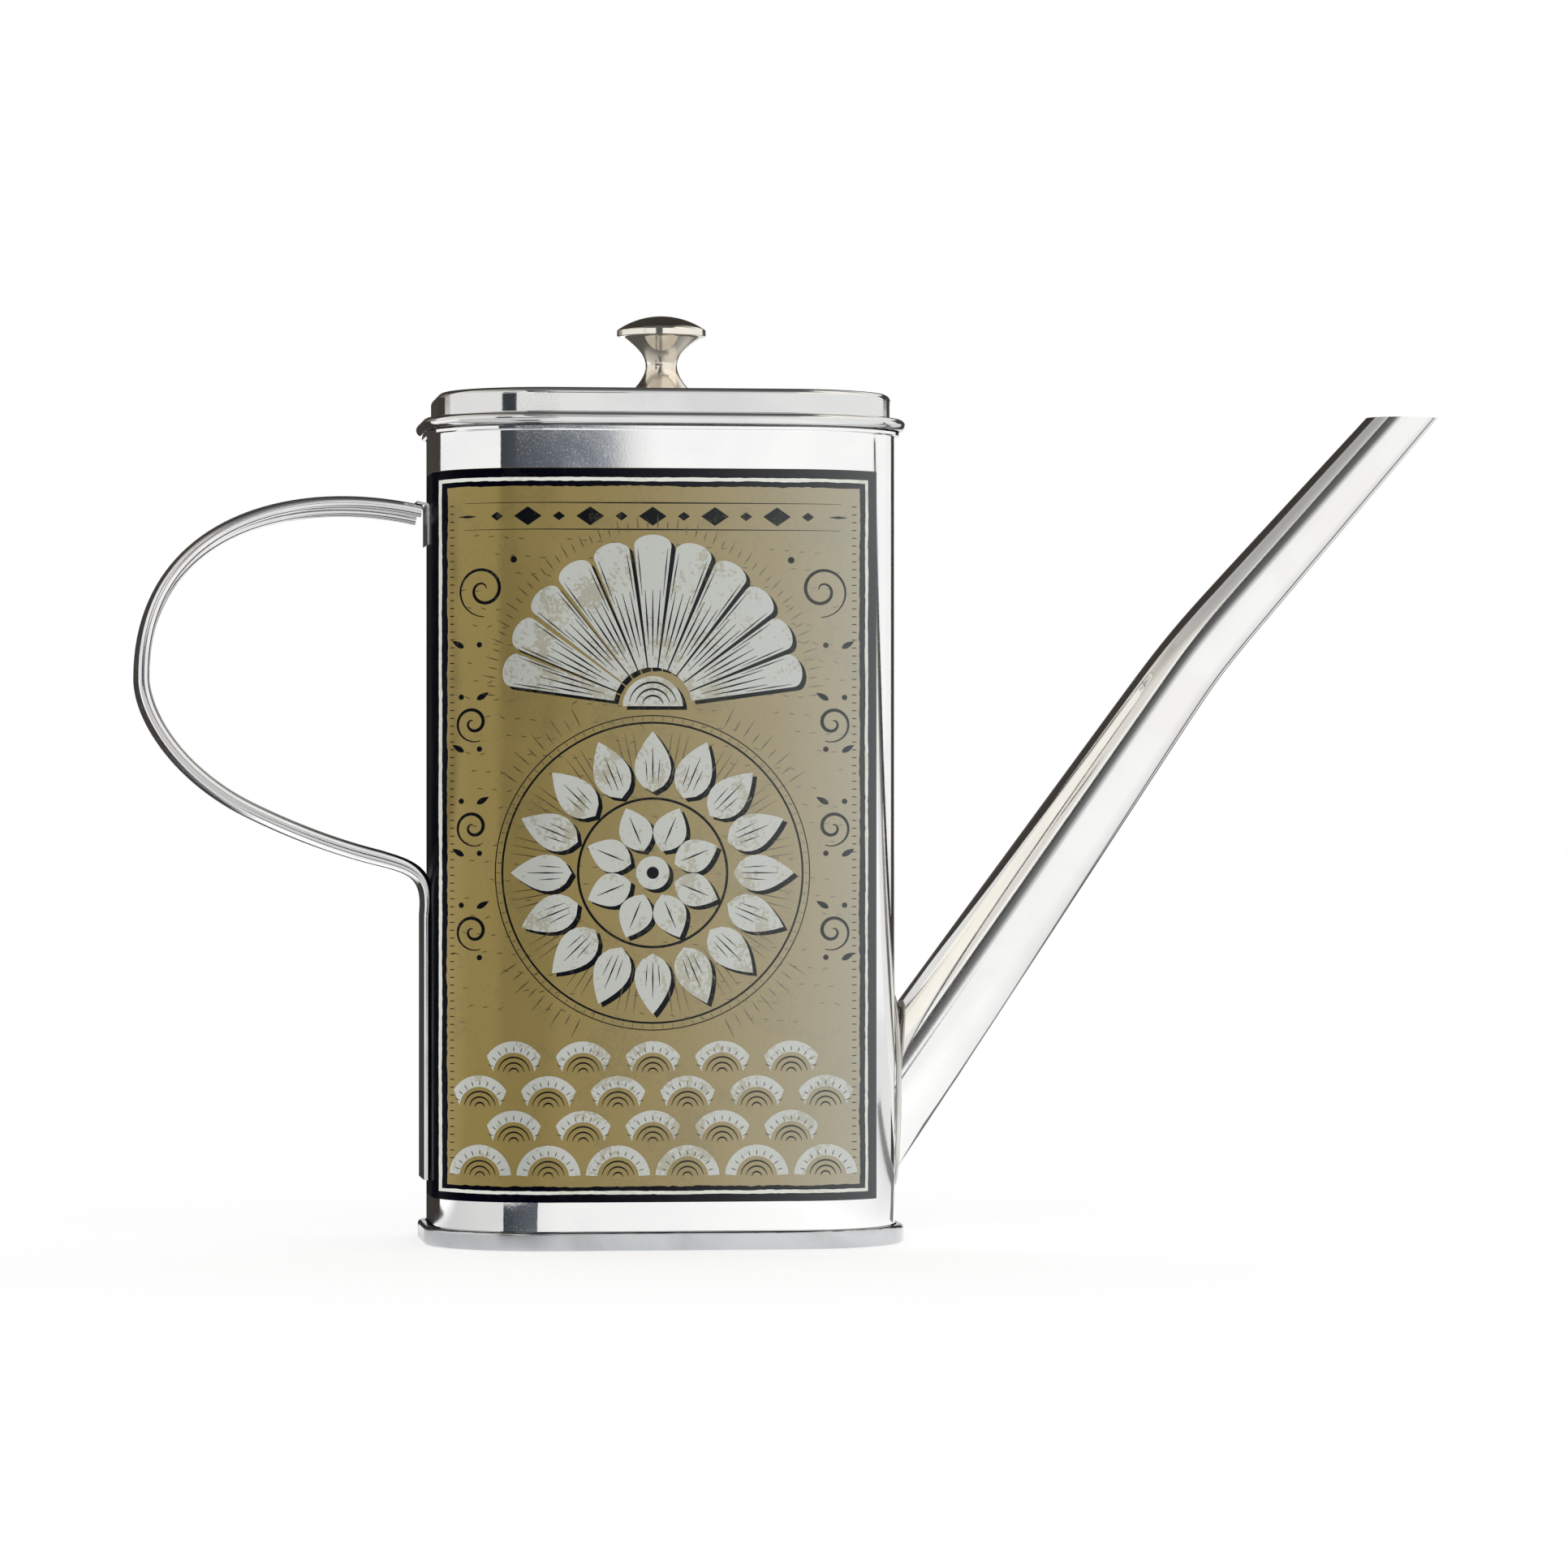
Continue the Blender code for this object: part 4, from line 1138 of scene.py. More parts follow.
def fill_flat(name, outlines):
    curve = bpy.data.curves.new(name, "CURVE")
    curve.dimensions = "2D"
    curve.fill_mode = "FRONT"
    for outline in outlines:
        new_line(curve, [(across, high, 0.0) for across, high in outline], True)
    return curve_to_mesh(name, curve)


def cut_strips(piece):
    reach = [vert.co.x for vert in piece.data.vertices]
    edit(piece)
    for line in STRIP_LINES:
        if min(reach) < line < max(reach):
            slice_through((line, 0.0, 0.0), (1.0, 0.0, 0.0))
    deselect_all()


# %% Lay a layer of print on the wall
LAYER = 0.02 * MM
LAYER_THICKNESS = 0.012 * MM
CROWNED_FROM_X = -CORNER_X - CORNER_RADIUS / 2
EDGE_ON = 0.05


def faces_the_can(face):
    on_narrow_end = abs(face.normal.y) < EDGE_ON and face.verts[0].co.x < CAN_MIDDLE
    return face.normal.y > 0 or (on_narrow_end and face.normal.x > 0)


def lay_print(name, outlines, layer, finish):
    piece = fill_flat(name, outlines)
    cut_strips(piece)
    edit(piece)
    mesh = bmesh.from_edit_mesh(piece.data)
    for vert in mesh.verts:
        x, y = wall_point(vert.co.x * MM, LABEL_OUT + layer * LAYER)
        high = vert.co.y * MM
        crown = crown_at(x, high) if x > CROWNED_FROM_X else 0.0
        vert.co = (x + CAN_MIDDLE, y - crown, high)
    bmesh.update_edit_mesh(piece.data)
    select_all()
    bpy.ops.mesh.remove_doubles(threshold=TOUCH)
    mesh = bmesh.from_edit_mesh(piece.data)
    mesh.normal_update()
    for face in mesh.faces:
        if faces_the_can(face):
            face.normal_flip()
    bmesh.update_edit_mesh(piece.data)
    deselect_all()
    thicken(piece, LAYER_THICKNESS, even=False)
    smooth(piece)
    hand_over(piece, finish, "can", "label_print")


# %% [markdown]
# The panel has a dark border with a fine light line in it, both with a torn hand-cut edge. Each
# straight edge is walked in short steps, and noise moves every step a little sideways.

# %% Border
FIELD = (-38.08, 36.79, 11.54, 137.58)
EDGE_STEP = 0.7
FINE_TEAR = 0.9
COARSE_TEAR = 0.12
HELD_STEPS = 4


def torn_box(left, right, bottom, top, tear, seed):
    corners = [(left, bottom), (right, bottom), (right, top), (left, top)]
    outline = []
    for (x0, y0), (x1, y1) in zip(corners, corners[1:] + corners[:1]):
        steps = max(int(math.hypot(x1 - x0, y1 - y0) / EDGE_STEP), 1)
        for step in range(steps):
            x = x0 + (x1 - x0) * (step / steps)
            y = y0 + (y1 - y0) * (step / steps)
            fine = noise.noise(Vector((x * FINE_TEAR, y * FINE_TEAR, seed)))
            coarse = noise.noise(Vector((x * COARSE_TEAR, y * COARSE_TEAR, seed + 5.0)))
            held = min(1.0, step / HELD_STEPS, (steps - step) / HELD_STEPS)
            off = tear * (fine + coarse) * held
            outline.append((x + off * (y1 != y0), y + off * (x1 != x0)))
    return outline


panel_edge = torn_box(-42.95, 39.85, 8.7, 140.85, tear=0.0, seed=0.0)
field_edge = torn_box(*FIELD, tear=0.22, seed=1.0)
line_outer = torn_box(-39.78, 38.28, 10.15, 139.19, tear=0.10, seed=2.0)
line_inner = torn_box(-39.12, 37.76, 10.74, 138.53, tear=0.12, seed=3.0)
lay_print("print_border", [panel_edge, field_edge], 1, NAVY_PRINT)
lay_print("print_border_line", [line_outer, line_inner], 2, LINE_PRINT)

# %% [markdown]
# ## The print's ornaments
# The design is a plain one made for this lesson: a fluted shell, a rosette, rows of scales and a
# few curls. Light shapes sit on a dark shadow that is shifted a little, and fine strokes over them
# look engraved. All of it is drawn with a few pens: a disc, a petal, and a stroke that tapers.

# %% Shapes to draw with
MIDDLE = -0.65
STROKE_END = 0.25
PETAL_FULLNESS = 0.9


def around(centre, radius, angle):
    turn = math.radians(angle)
    return (centre[0] + radius * math.cos(turn), centre[1] + radius * math.sin(turn))


def petal(centre, angle, close, far, width, steps=10, blunt=0.75):
    turn = math.radians(angle)
    along = (math.cos(turn), math.sin(turn))
    outline = []
    for sign in (1, -1):
        for step in range(steps):
            share = step / steps if sign > 0 else 1 - step / steps
            reach = close + (far - close) * share
            half = sign * width * math.sin(math.pi * share**blunt) ** PETAL_FULLNESS / 2
            x = centre[0] + along[0] * reach - along[1] * half
            outline.append((x, centre[1] + along[1] * reach + along[0] * half))
    return outline


def disc(centre, radius, steps=36):
    return [around(centre, radius, 360 * step / steps) for step in range(steps)]


def stroke(points, width):
    last = len(points) - 1
    left = []
    right = []
    for i, (x, y) in enumerate(points):
        x0, y0 = points[max(i - 1, 0)]
        x1, y1 = points[min(i + 1, last)]
        length = math.hypot(x1 - x0, y1 - y0)
        half = width / 2 * (STROKE_END + (1 - STROKE_END) * math.sin(math.pi * i / last))
        across = ((y0 - y1) / length * half, (x1 - x0) / length * half)
        left.append((x + across[0], y + across[1]))
        right.append((x - across[0], y - across[1]))
    return left + right[::-1]


def ray(centre, angle, reaches, width):
    return stroke([around(centre, reach, angle) for reach in reaches], width)


def arc_points(centre, radius, start, end, steps):
    return [around(centre, radius, start + (end - start) * step / steps) for step in range(steps + 1)]


def arc_stroke(centre, radius, start, end, width):
    return stroke(arc_points(centre, radius, start, end, 14), width)


# %% Fluted shell
SHELL = (MIDDLE, 98.0)
SHELL_SPAN = 166
SHELL_START = 7
SHELL_NEAR = 7.0
SHELL_FAR = 29.0
SHELL_DROP = 3.5
FLUTES = 11
FLUTE_PITCH = SHELL_SPAN / FLUTES
FLUTE_HALF = FLUTE_PITCH * 0.44
FLUTE_STEPS = 8
FLUTE_TIP = 1.9
FLUTE_TIP_STEPS = 12


def shell_reach(angle):
    return SHELL_FAR - SHELL_DROP * abs(angle - 90) / (SHELL_SPAN / 2)


def flute(angle, far):
    up = [SHELL_NEAR + (far - SHELL_NEAR) * step / FLUTE_STEPS for step in range(FLUTE_STEPS + 1)]
    down = [far + (SHELL_NEAR - far) * step / FLUTE_STEPS for step in range(FLUTE_STEPS + 1)]
    outline = [around(SHELL, reach, angle - FLUTE_HALF) for reach in up]
    for step in range(1, FLUTE_TIP_STEPS):
        tip = math.pi * step / FLUTE_TIP_STEPS
        outline.append(around(SHELL, far + FLUTE_TIP * math.sin(tip), angle - FLUTE_HALF * math.cos(tip)))
    return outline + [around(SHELL, reach, angle + FLUTE_HALF) for reach in down]


shell_light = []
fine_lines = []
for number in range(FLUTES):
    angle = SHELL_START + FLUTE_PITCH * (number + 0.5)
    reach = shell_reach(angle)
    shell_light.append(flute(angle, reach))
    for share in (-0.25, 0.0, 0.25):
        groove = (SHELL_NEAR + 2.0 + 8 * abs(share), 15.0, 21.0)
        fine_lines.append(ray(SHELL, angle + share * FLUTE_PITCH, groove, 0.30))
    for share in (-0.36, 0.36):
        edge = (reach - 9.0, reach - 4.0, reach - 0.5)
        fine_lines.append(ray(SHELL, angle + share * FLUTE_PITCH, edge, 0.22))
shell_light.append(arc_points(SHELL, 5.4, 0, 180, 24))
for radius in (4.3, 3.1, 1.9):
    fine_lines.append(arc_stroke(SHELL, radius, 10, 170, 0.35))
print("shell shapes:", len(shell_light))

# %% Rosette
ROSE = (MIDDLE, 68.0)
ROSE_EYE = 3.0
OUTER_PETALS = 16
OUTER_PETAL = {"close": 14.5, "far": 25.5, "width": 6.6}
INNER_PETALS = 8
INNER_PETAL = {"close": 4.2, "far": 12.6, "width": 6.0, "blunt": 0.85}

rose_light = []
for i in range(OUTER_PETALS):
    angle = 360 * i / OUTER_PETALS
    rose_light.append(petal(ROSE, angle, **OUTER_PETAL))
    fine_lines.append(ray(ROSE, angle, (16.0, 19.0, 22.5), 0.25))
    for side in (-1, 1):
        fine_lines.append(ray(ROSE, angle + side * 3.5, (16.5, 18.5, 20.5), 0.18))
for i in range(INNER_PETALS):
    angle = 360 * (i + 0.5) / INNER_PETALS
    rose_light.append(petal(ROSE, angle, **INNER_PETAL))
    fine_lines.append(ray(ROSE, angle, (5.6, 8.0, 10.8), 0.28))
rose_light.append(disc(ROSE, ROSE_EYE))
fine_lines.append(disc(ROSE, 1.1, 18))
print("rosette shapes:", len(rose_light))

# %% Rings and rays round the rosette and the shell
ROSE_RINGS = ((13.6, 0.45), (27.2, 0.35), (28.4, 0.18))
TICKS = 96
CLEAR_OF_CURLS = 0.86
CLEAR_OF_SHELL = 0.90
SHELL_RAYS = 56
SHELL_RAYS_FROM = 4
SHELL_RAYS_SPAN = 180 - 2 * SHELL_RAYS_FROM

rings = []
for radius, width in ROSE_RINGS:
    rings += [disc(ROSE, radius, TICKS), disc(ROSE, radius - width, TICKS)]
rays = []
for i in range(OUTER_PETALS):
    for step in (-3.4, 0.0, 3.4):
        angle = 360 * (i + 0.5) / OUTER_PETALS + step
        rays.append(ray(ROSE, angle, (18.5 if step else 16.0, 22.0, 25.6), 0.20))
for i in range(TICKS):
    angle = 360 / TICKS * i
    rays.append(ray(ROSE, angle, (27.3, 27.8, 28.2), 0.16))
    turn = math.radians(angle)
    if abs(math.cos(turn)) < CLEAR_OF_CURLS and abs(math.sin(turn)) < CLEAR_OF_SHELL:
        rays.append(ray(ROSE, angle, (29.3, 30.6, 31.6 + 1.4 * (i % 2)), 0.24))
for i in range(SHELL_RAYS):
    angle = SHELL_RAYS_FROM + SHELL_RAYS_SPAN * i / (SHELL_RAYS - 1)
    reach = shell_reach(angle)
    rays.append(ray(SHELL, angle, (reach + 2.9, reach + 3.8, reach + 4.6 + 0.9 * (i % 2)), 0.22))
print("rays:", len(rays))

# %% Scales along the foot
SCALE_RADIUS = 6.24
SCALE_ROWS = 4
SCALES_ACROSS = 6
SCALES_BOTTOM = 13.2
SCALE_GAP = 0.45
SCALE_BAND = 2.5
FOOT_ROW_START = 4
UPPER_ROW_START = 32

scale_light = []
for row in range(SCALE_ROWS):
    start = UPPER_ROW_START if row else FOOT_ROW_START
    for i in range(SCALES_ACROSS - row % 2):
        across = FIELD[0] + SCALE_RADIUS * (2 * (i + 0.5 * (row % 2)) + 1)
        centre = (across, SCALES_BOTTOM + row * SCALE_RADIUS)
        outer = arc_points(centre, SCALE_RADIUS - SCALE_GAP, start, 180 - start, 16)
        scale_light.append(outer + arc_points(centre, SCALE_RADIUS - SCALE_BAND, 176, 4, 14))
        for angle in range(18, 163, 18):
            fine_lines.append(ray(centre, angle, (3.9, 4.4, 4.9), 0.16))
        for radius in (2.9, 1.9, 0.9):
            fine_lines.append(arc_stroke(centre, radius, 8, 172, 0.28))
print("scales:", len(scale_light), "fine lines:", len(fine_lines))

# %% [markdown]
# Curls, dots, leaves and ticks run up one side and are mirrored to the other. A row of lozenges
# between two lines closes the field at the top.

# %% Curls and lozenges
SCROLL_LINE = -33.6
CURLS = 7
CURL_PITCH = 9.4
CURL_STEPS = 26
CURL_EYE = 0.12
SIDE_TICKS = 86
TICK_PITCH = 1.42
ROW_HIGH = 132.2


def curl(centre, size, turns, start, width):
    steps = int(CURL_STEPS * turns)
    points = []
    for step in range(steps + 1):
        reach = size * (CURL_EYE + (1 - CURL_EYE) * (step / steps))
        points.append(around(centre, reach, start + 360 * turns * (step / steps)))
    return stroke(points, width)


def lozenge(centre, half_across, half_high):
    x, y = centre
    return [(x + half_across, y), (x, y + half_high), (x - half_across, y), (x, y - half_high)]


curls = []
for k in range(CURLS):
    high = 48.0 + CURL_PITCH * k
    turned = 1 if k % 2 else -1
    curls.append(curl((SCROLL_LINE + 0.5 * turned, high), 3.5, 1.55 * turned, 95 * turned, 0.62))
    curls.append(disc((SCROLL_LINE - 1.7 * turned, high + 4.7), 0.5, 12))
    curls.append(petal((SCROLL_LINE + 1.2 * turned, high + 4.2), 90 - 60 * turned, 0.0, 2.6, 1.0))
curls.append(curl((-31.2, 119.0), 4.9, 1.7, 20, 0.6))
curls.append(disc((-25.6, 124.4), 0.6, 14))
for k in range(SIDE_TICKS):
    high = FIELD[2] + 2.0 + TICK_PITCH * k
    curls.append(stroke([(FIELD[0] + reach, high) for reach in (0.55, 0.95, 1.5)], 0.22))
curls += [[(2 * MIDDLE - x, y) for x, y in reversed(outline)] for outline in curls]
for high in (134.6, 129.8):
    curls.append(stroke([(MIDDLE - 34.0, high), (MIDDLE, high), (MIDDLE + 34.0, high)], 0.26))
for i in range(-5, 6):
    half_size = (1.1, 0.8) if i % 2 else (2.5, 1.7)
    curls.append(lozenge((MIDDLE + 5.6 * i, ROW_HIGH), *half_size))
for side in (-1, 1):
    curls.append(stroke([(MIDDLE + side * x, ROW_HIGH) for x in (32.0, 33.5, 35.0)], 0.5))
print("curls, ticks and lozenges:", len(curls))

# %% [markdown]
# Between all shapes the gold has short flecks. Two golden ratios spread them, which fills a field
# evenly with no pattern that the eye can find, and noise makes them lean.

# %% Flecks
FLECKS = 420
FLECKS_LOW = 41.0
FLECKS_HIGH = 129.0
GOLDEN_ACROSS = 0.6180339
GOLDEN_UP = 0.7548777

flecks = []
for number in range(FLECKS):
    across = FIELD[0] + 3.0 + (FIELD[1] - FIELD[0] - 6.0) * (number * GOLDEN_ACROSS % 1.0)
    high = FLECKS_LOW + (FLECKS_HIGH - FLECKS_LOW) * (number * GOLDEN_UP % 1.0)
    lean = 0.5 * noise.noise(Vector((across, high, 9.0)))
    flecks.append(stroke([(across + s * 0.55, high + s * lean) for s in (-1, 0, 1)], 0.2))
print("flecks:", len(flecks))

# %% Print the ornaments
SHADOW_ACROSS = 0.75
SHADOW_DOWN = 0.65

for number, shapes in enumerate((shell_light, rose_light)):
    shadow = [[(x + SHADOW_ACROSS, y - SHADOW_DOWN) for x, y in outline] for outline in shapes]
    lay_print(f"print_shadow_{number + 1}", shadow, 1, INK_PRINT)
    lay_print(f"print_light_{number + 1}", shapes, 2, WHITE_PRINT)
lay_print("print_light_3", scale_light, 2, WHITE_PRINT)
lay_print("print_rings", rings, 1, INK_PRINT)
lay_print("print_rays", rays, 1, DARK_GOLD_PRINT)
lay_print("print_flecks", flecks, 0.5, DARK_GOLD_PRINT)
lay_print("print_lines", fine_lines, 3, INK_PRINT)
lay_print("print_curls", curls, 1, INK_PRINT)

# %% [markdown]
# ## Hidden fastenings
# The screw and the washer under the lid keep their solids and only get their finish, a zinc plate
# that is duller than the knob.

# %% Finishes of the solids that stay
for node, finish in (("knob_screw", SCREW_ZINC), ("knob_washer", WASHER_ZINC)):
    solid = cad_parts[node]
    solid.data.materials.clear()
    solid.data.materials.append(finish)
    print(node, "has", finish.name)

# %% [markdown]
# ## Camera, floor and light
# The camera stands level, a little below the can's half height, and sees the handle's end turned
# slightly toward it.

# %% Camera
VIEW_TURN = math.radians(6.7)
VIEW_DISTANCE = 1.2
VIEW_HEIGHT = 76.1 * MM
VIEW_SIDE = 23.025 * MM
PHOTO_SIDE = 1932
FOCAL_IN_PIXELS = 8000
HORIZON_BELOW_MIDDLE = 54
SENSOR = 36.0

lens = bpy.data.cameras.new("studio camera")
lens.sensor_width = SENSOR
lens.lens = SENSOR * FOCAL_IN_PIXELS / PHOTO_SIDE
lens.shift_y = HORIZON_BELOW_MIDDLE / PHOTO_SIDE
lens.clip_start = 0.05
lens.clip_end = 50.0
camera = add_object("studio camera", lens)
ahead = Vector((math.sin(VIEW_TURN), math.cos(VIEW_TURN), 0.0))
aside = Vector((math.cos(VIEW_TURN), -math.sin(VIEW_TURN), 0.0))
camera.location = aside * VIEW_SIDE - ahead * VIEW_DISTANCE + Vector((CAN_MIDDLE, 0.0, VIEW_HEIGHT))
camera.rotation_euler = (math.pi / 2, 0.0, -VIEW_TURN)
bpy.context.scene.camera = camera
print("lens:", round(lens.lens, 1), "mm")

# %% [markdown]
# The floor is pale and glows a little, so that it melts into the white room. Polished steel mirrors it, and a
# real sweep of paper isn't equally bright everywhere, so light and shade are painted into what the metal sees
# of the floor, which is told apart by Light Path. Ramps along X and Y paint it darker toward the handle and
# toward the back, which is painted shade, and brighter toward the spout and again behind the handle's half,
# which is painted light. Each ramp is an axis, where it starts and ends, counted from the can's middle, and
# its two values.

# %% Floor
FLOOR_SIDE = 30.0
FLOOR_COLOUR = (0.9, 0.9, 0.9)
FLOOR_GLOW = (0.45, 0.45, 0.45)
FLOOR_ROUGHNESS = 0.8
FLOOR_RAMPS = {
    "toward the spout": ("X", -0.10, 0.07, 0.76, 1.22),
    "beyond the spout": ("X", 0.08, 0.16, 1.0, 0.89),
    "toward the back": ("Y", -0.06, 0.13, 1.0, 0.78),
    "right half": ("X", 0.03, 0.08, 1.2, 1.0),
    "back half": ("Y", 0.02, 0.06, 0.0, 1.0),
    "handle's half": ("X", 0.05, 0.08, 1.0, 0.0),
}

deselect_all()
bpy.ops.mesh.primitive_plane_add(size=FLOOR_SIDE)
floor = bpy.context.object
floor.name = "floor"
finish, tree, shader = new_finish("pale floor", 0.0)
along = axes(tree, object_place(tree))
ramps = {}
for name, (axis, start, end, first, last) in FLOOR_RAMPS.items():
    middle = CAN_MIDDLE if axis == "X" else 0.0
    ramps[name] = spread(tree, along[axis], middle + start, middle + end, first, last)
behind_spout = sum_up(tree, "MULTIPLY", ramps["beyond the spout"], ramps["toward the back"])
beside = sum_up(tree, "MULTIPLY", ramps["toward the spout"], behind_spout)
white_back = sum_up(tree, "MULTIPLY", ramps["back half"], ramps["handle's half"])
# painted light and shade on the floor, seen only in the metal's reflections
floor_painted_light_and_shade = spread(tree, white_back, 0.0, 1.0, beside, ramps["right half"])
grey = {"Red": floor_painted_light_and_shade, "Green": floor_painted_light_and_shade, "Blue": floor_painted_light_and_shade}
glow = add(tree, "ShaderNodeCombineColor", grey).outputs["Color"]
mirrored_in = add(tree, "ShaderNodeLightPath").outputs["Is Glossy Ray"]
feed(tree, shader, "Base Color", blend_colours(tree, mirrored_in, FLOOR_COLOUR, (0.0, 0.0, 0.0)))
feed(tree, shader, "Emission Color", blend_colours(tree, mirrored_in, FLOOR_GLOW, glow))
feed(tree, shader, "Emission Strength", 1.0)
feed(tree, shader, "Roughness", FLOOR_ROUGHNESS)
feed(tree, shader, "Specular IOR Level", 0.0)
floor.data.materials.append(finish)
print("floor ramps:", len(ramps))

# %% [markdown]
# The room is white all round and darkens toward its ceiling, which gives the upward faces their
# grey. A ramp over height does that, as pairs of height and brightness.

# %% World
CEILING = ((0.60, 1.0), (0.76, 0.50), (0.86, 0.34), (0.94, 0.12))

world = bpy.data.worlds.new("white room")
bpy.context.scene.world = world
world.use_nodes = True
tree = world.node_tree
room_side = axes(tree, add(tree, "ShaderNodeTexCoord").outputs["Generated"])
ramp = add(tree, "ShaderNodeValToRGB", {"Fac": room_side["Z"]})
for extra in range(len(CEILING) - 2):
    ramp.color_ramp.elements.new(0.5)
for stop, (height, shine) in zip(ramp.color_ramp.elements, CEILING):
    stop.position = height
    stop.color = (shine, shine, shine, 1.0)
feed(tree, tree.nodes["Background"], "Color", ramp.outputs["Color"])
feed(tree, tree.nodes["Background"], "Strength", 1.0)
bpy.context.scene.view_settings.view_transform = "Standard"
print("world:", world.name)

# %% [markdown]
# Polished metal only shows what stands round it, so cards make its streaks, as in a photographer's
# studio. The camera doesn't see them. Dark cards stand where the dark streaks come from, pale ones
# fill between, and each fades from corner to corner. A card far off is given by the directions that
# it covers, seen from the can: degrees round from the front toward the handle's side, degrees up,
# and the glow of that corner.

# %% Cards round the room
CARD_STEPS = 8
ROOM = 1.5
BRIGHT_ABOVE_ROOM = ROOM + 0.12
BLUISH = (0.86, 0.97, 1.16)
BROWNISH = (1.12, 1.0, 0.90)
PLAIN = (1.0, 1.0, 1.0)
CREAM = (1.04, 1.0, 0.92)
CARDS = {
    "camera side": (BLUISH, (-1.6, -8, 0.14), (52.5, -8, 0.05), (52.5, 6.5, 0.055), (-1.7, 6.5, 0.14)),
    "camera side pale": (BLUISH, (-2.35, -8, 0.36), (-1.6, -8, 0.14), (-1.7, 6.5, 0.14), (-2.4, 6.5, 0.36)),
    "camera side soft": (PLAIN, (-2.95, -8, 0.82), (-2.35, -8, 0.36), (-2.4, 6.5, 0.36), (-3, 6.5, 0.82)),
    "camera side faint": (PLAIN, (-4.4, -8, 1.07), (-2.95, -8, 0.82), (-3, 6.5, 0.82), (-4.4, 6.5, 1.07)),
    "left gap": (BLUISH, (37, 6.5, 0.05), (52.5, 6.5, 0.05), (52.5, 30, 0.09), (37, 30, 0.09)),
    "leaning low": (PLAIN, (10, 11, 0.25), (16, 11.5, 0.12), (27, 25, 0.05), (10, 25, 0.18)),
    "leaning low fade": (PLAIN, (-2, 10.5, 1.0), (10, 11, 0.25), (10, 25, 0.18), (-8, 24, 1.0)),
    "leaning": (PLAIN, (10, 25, 0.18), (27, 25, 0.05), (26, 32, 0.05), (8, 32, 0.18)),
    "leaning fade": (PLAIN, (-8, 24, 1.0), (10, 25, 0.18), (8, 32, 0.18), (-9, 31, 1.0)),
    "leaning high": (PLAIN, (8, 32, 0.18), (26, 32, 0.05), (36, 55, 0.10), (8, 50, 0.18)),
    "leaning high fade": (PLAIN, (-9, 31, 1.0), (8, 32, 0.18), (8, 50, 0.18), (-3, 47, 0.80)),
    "cream left": (CREAM, (34, 28, 0.84), (131, 30, 0.84), (129, 43, 0.84), (37, 43, 0.80)),
    "cream left high": (CREAM, (37, 43, 0.80), (129, 43, 0.84), (126, 51, 0.46), (42, 51, 0.44)),
    "cream right": (CREAM, (-112, 31, 1.25), (-17, 31, 1.25), (-17, 52, 1.1), (-112, 52, 1.1)),
    "cream right high": (CREAM, (-112, 52, 1.2), (-60, 52, 1.2), (-60, 72, 1.2), (-112, 72, 1.2)),
    "behind above": (BROWNISH, (160, 6.8, 0.10), (230, 6.8, 0.06), (236, 24, 0.04), (154, 24, 0.05)),
    "behind higher": (BROWNISH, (134, 24, 0.05), (205, 24, 0.04), (205, 66, 0.03), (118, 66, 0.05)),
    "behind corner": (BROWNISH, (126, 6.8, 0.5), (160, 6.8, 0.10), (154, 24, 0.05), (134, 24, 0.34)),
    "bright side": (PLAIN, (-125, -6, 1.05), (-4.4, -6, 1.08), (-4.4, 6.5, 1.08), (-125, 6.5, 1.05)),
    "bright above": (PLAIN, (-125, 6.1, 1.05), (40, 6.1, 1.06), (40, 31, 1.04), (-125, 31, 1.05)),
}

# %% [markdown]
# A card is a grid of verts between its four corners, and each vert carries its own glow as a colour
# attribute, which the one finish of all cards reads as light. It is black otherwise, so nothing
# shows in it.

# %% Make the cards
card_finish, tree, shader = new_finish("card", 0.0)
feed(tree, shader, "Base Color", (0.0, 0.0, 0.0, 1.0))
feed(tree, shader, "Specular IOR Level", 0.0)
feed(tree, shader, "Emission Strength", 1.0)
card_glow = add(tree, "ShaderNodeAttribute", attribute_name="glow")
feed(tree, shader, "Emission Color", card_glow.outputs["Color"])


def room_corner(distance, round_angle, up_angle, shine):
    turn = math.radians(round_angle)
    up = math.radians(up_angle)
    sight = Vector((-math.sin(turn) * math.cos(up), -math.cos(turn) * math.cos(up), math.sin(up)))
    return sight * distance + Vector((CAN_MIDDLE, 0.0, VIEW_HEIGHT)), shine


def bilinear(corners, steps):
    low_start, low_end, high_end, high_start = [Vector(corner) for corner in corners]
    for i in range(steps + 1):
        low = low_start.lerp(low_end, i / steps)
        high = high_start.lerp(high_end, i / steps)
        yield [low.lerp(high, j / steps) for j in range(steps + 1)]


def make_card(name, tint, grid):
    mesh = bmesh.new()
    glow = mesh.verts.layers.float_color.new("glow")
    rows = []
    for line in grid:
        rows.append([mesh.verts.new(place) for place, shine in line])
        for vert, (place, shine) in zip(rows[-1], line):
            vert[glow] = (*[shine * part for part in tint], 1.0)
    for low_row, high_row in zip(rows, rows[1:]):
        for j in range(len(low_row) - 1):
            mesh.faces.new((low_row[j], high_row[j], high_row[j + 1], low_row[j + 1]))
    card = object_from(name, mesh)
    card.data.materials.append(card_finish)
    for kind in ("camera", "diffuse", "shadow", "transmission"):
        setattr(card, f"visible_{kind}", False)


for name, (tint, *corners) in CARDS.items():
    distance = BRIGHT_ABOVE_ROOM if name == "bright above" else ROOM
    grid = [[room_corner(distance, *spot) for spot in line] for line in bilinear(corners, CARD_STEPS)]
    make_card(name, tint, grid)
print("cards round the room:", len(CARDS))

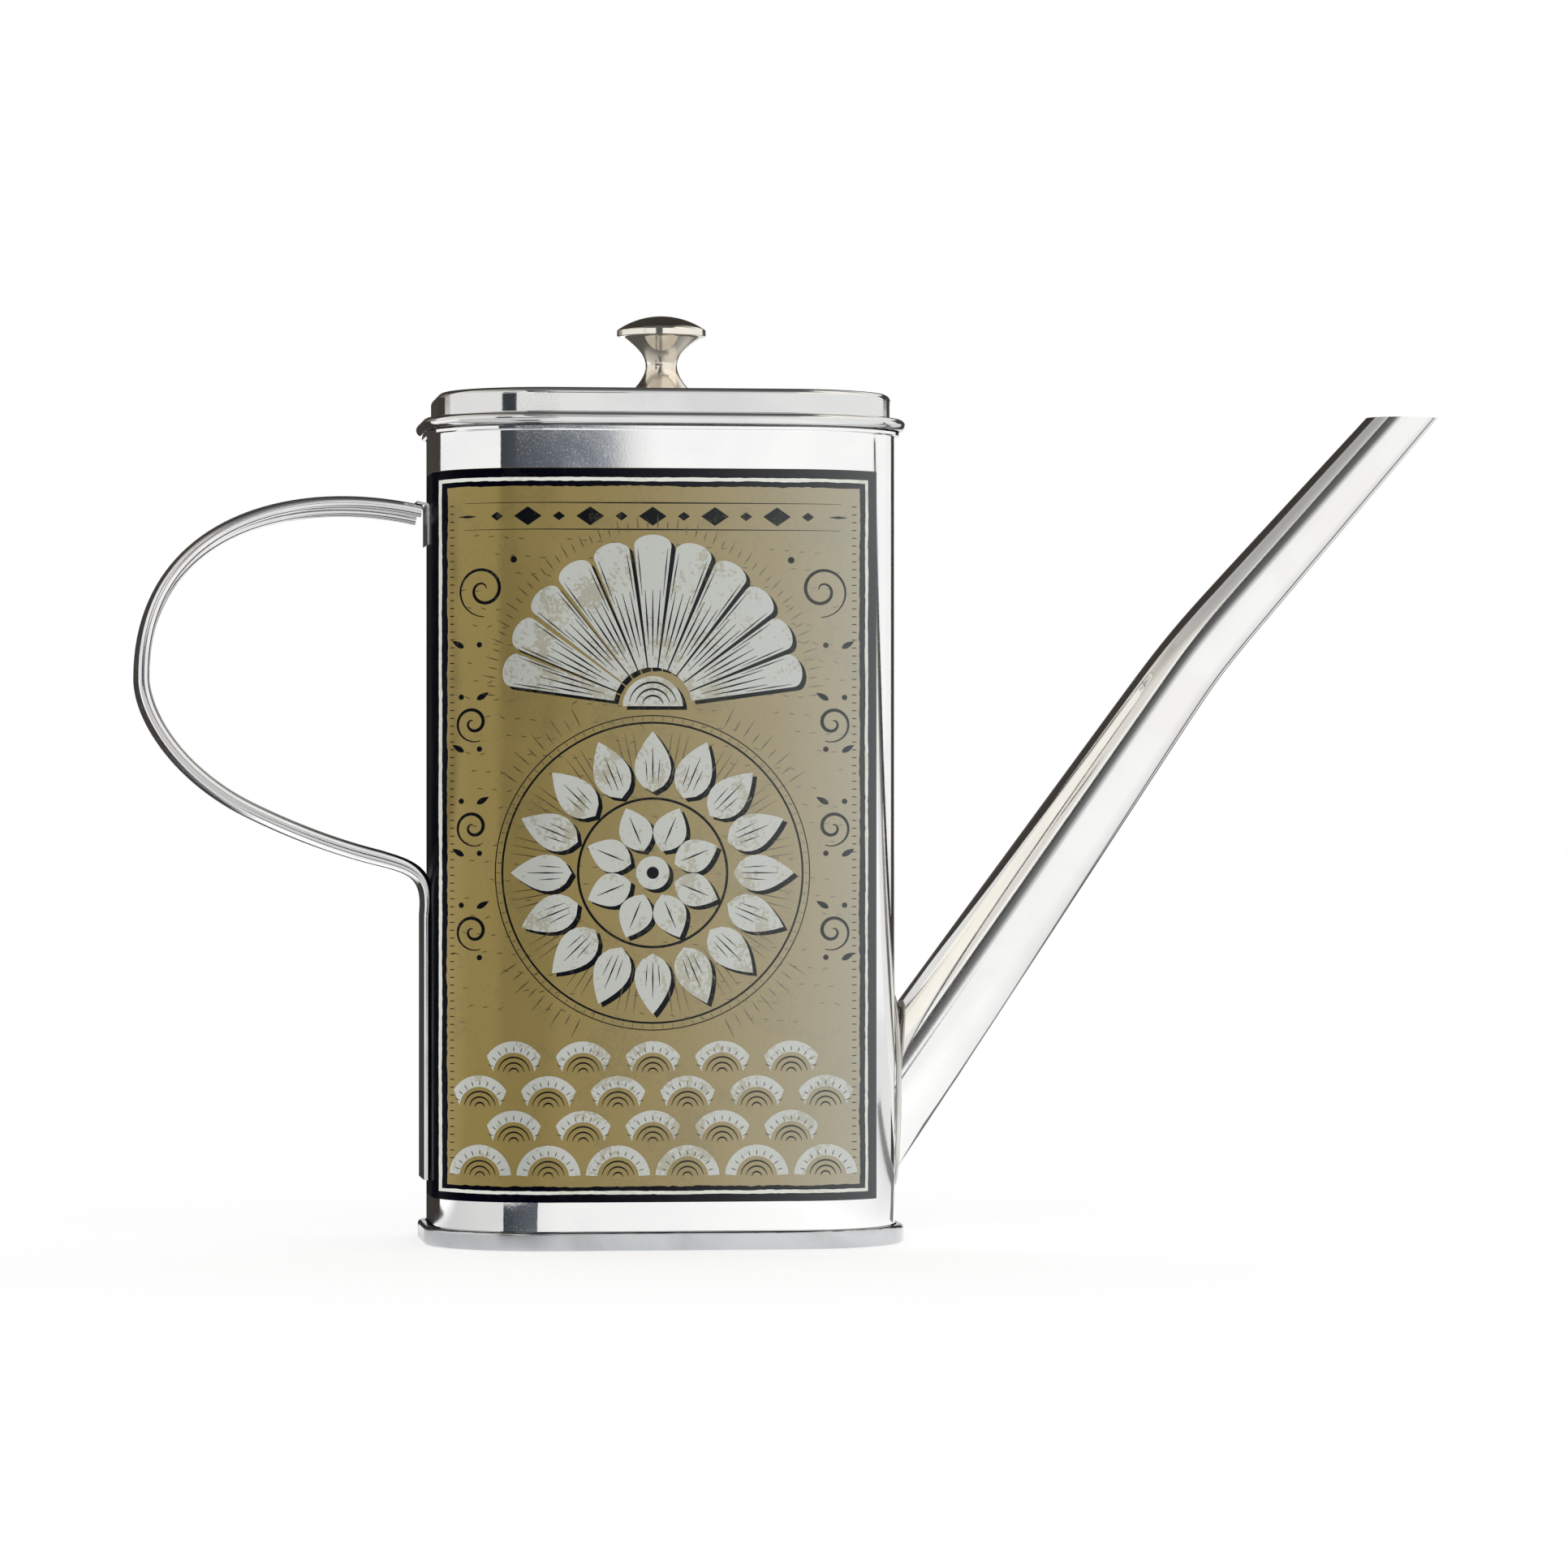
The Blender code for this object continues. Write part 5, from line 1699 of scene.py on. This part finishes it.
# %% [markdown]
# Some marks come from things that stand close: uprights behind the can on both sides, patches on
# the floor beside its foot, and two cards before the knob, too high for the can's wall to mirror.
# Corners are given in millimetres from the can's middle, with the glow of each. An upright card is
# written as its left, right, distance back, low and high.

# %% Cards near the can
NEAR_CARD_STEPS = 4
ABOVE_FLOOR = 0.6
DARK_ALL_OVER = (0.04,) * 4
DIM_ALL_OVER = (0.2,) * 4


def upright(left, right, back, low, high, low_glow, high_glow):
    bottom = [(left, back, low, low_glow), (right, back, low, low_glow)]
    return bottom + [(right, back, high, high_glow), (left, back, high, high_glow)]


def on_the_floor(glows, *corners):
    return [(x, y, ABOVE_FLOOR, glow) for (x, y), glow in zip(corners, glows)]


NEAR_CARDS = {
    "behind left": (BROWNISH, upright(-238, -103, 220, 0, 185, 0.04, 0.05)),
    "behind left high": (BROWNISH, upright(-103, -38, 220, 24, 185, 0.04, 0.05)),
    "behind left low": (BROWNISH, on_the_floor(DARK_ALL_OVER, (-112, 42), (-41, 42), (-41, 80), (-115, 80))),
    "behind left near": (BROWNISH, upright(-115, -41, 80, 0.6, 34, 0.04, 0.04)),
    "behind right": (BROWNISH, upright(135, 225, 220, 0, 185, 0.05, 0.05)),
    "behind right low": (PLAIN, on_the_floor(DIM_ALL_OVER, (110, 128), (600, 150), (600, 230), (110, 200))),
    "behind right foot": (PLAIN, on_the_floor(DIM_ALL_OVER, (66, 30), (84, 30), (150, 128), (110, 128))),
    "before the knob": (PLAIN, upright(-27, -3, -80, 168, 178, 0.1, 0.1)),
    "beside the knob": (PLAIN, upright(-125, -27, -80, 168, 178, 1, 1)),
    "low patch": (
        BLUISH,
        on_the_floor((0.12, 0.05, 0.05, 0.14), (-58, -155), (-129, -112), (-64, -56), (-35, -68)),
    ),
}

can_foot = Vector((CAN_MIDDLE, 0.0, 0.0))
for name, (tint, corners) in NEAR_CARDS.items():
    lines = bilinear(corners, NEAR_CARD_STEPS)
    grid = [[(spot.xyz * MM + can_foot, spot.w) for spot in line] for line in lines]
    make_card(name, tint, grid)
print("cards near the can:", len(NEAR_CARDS))
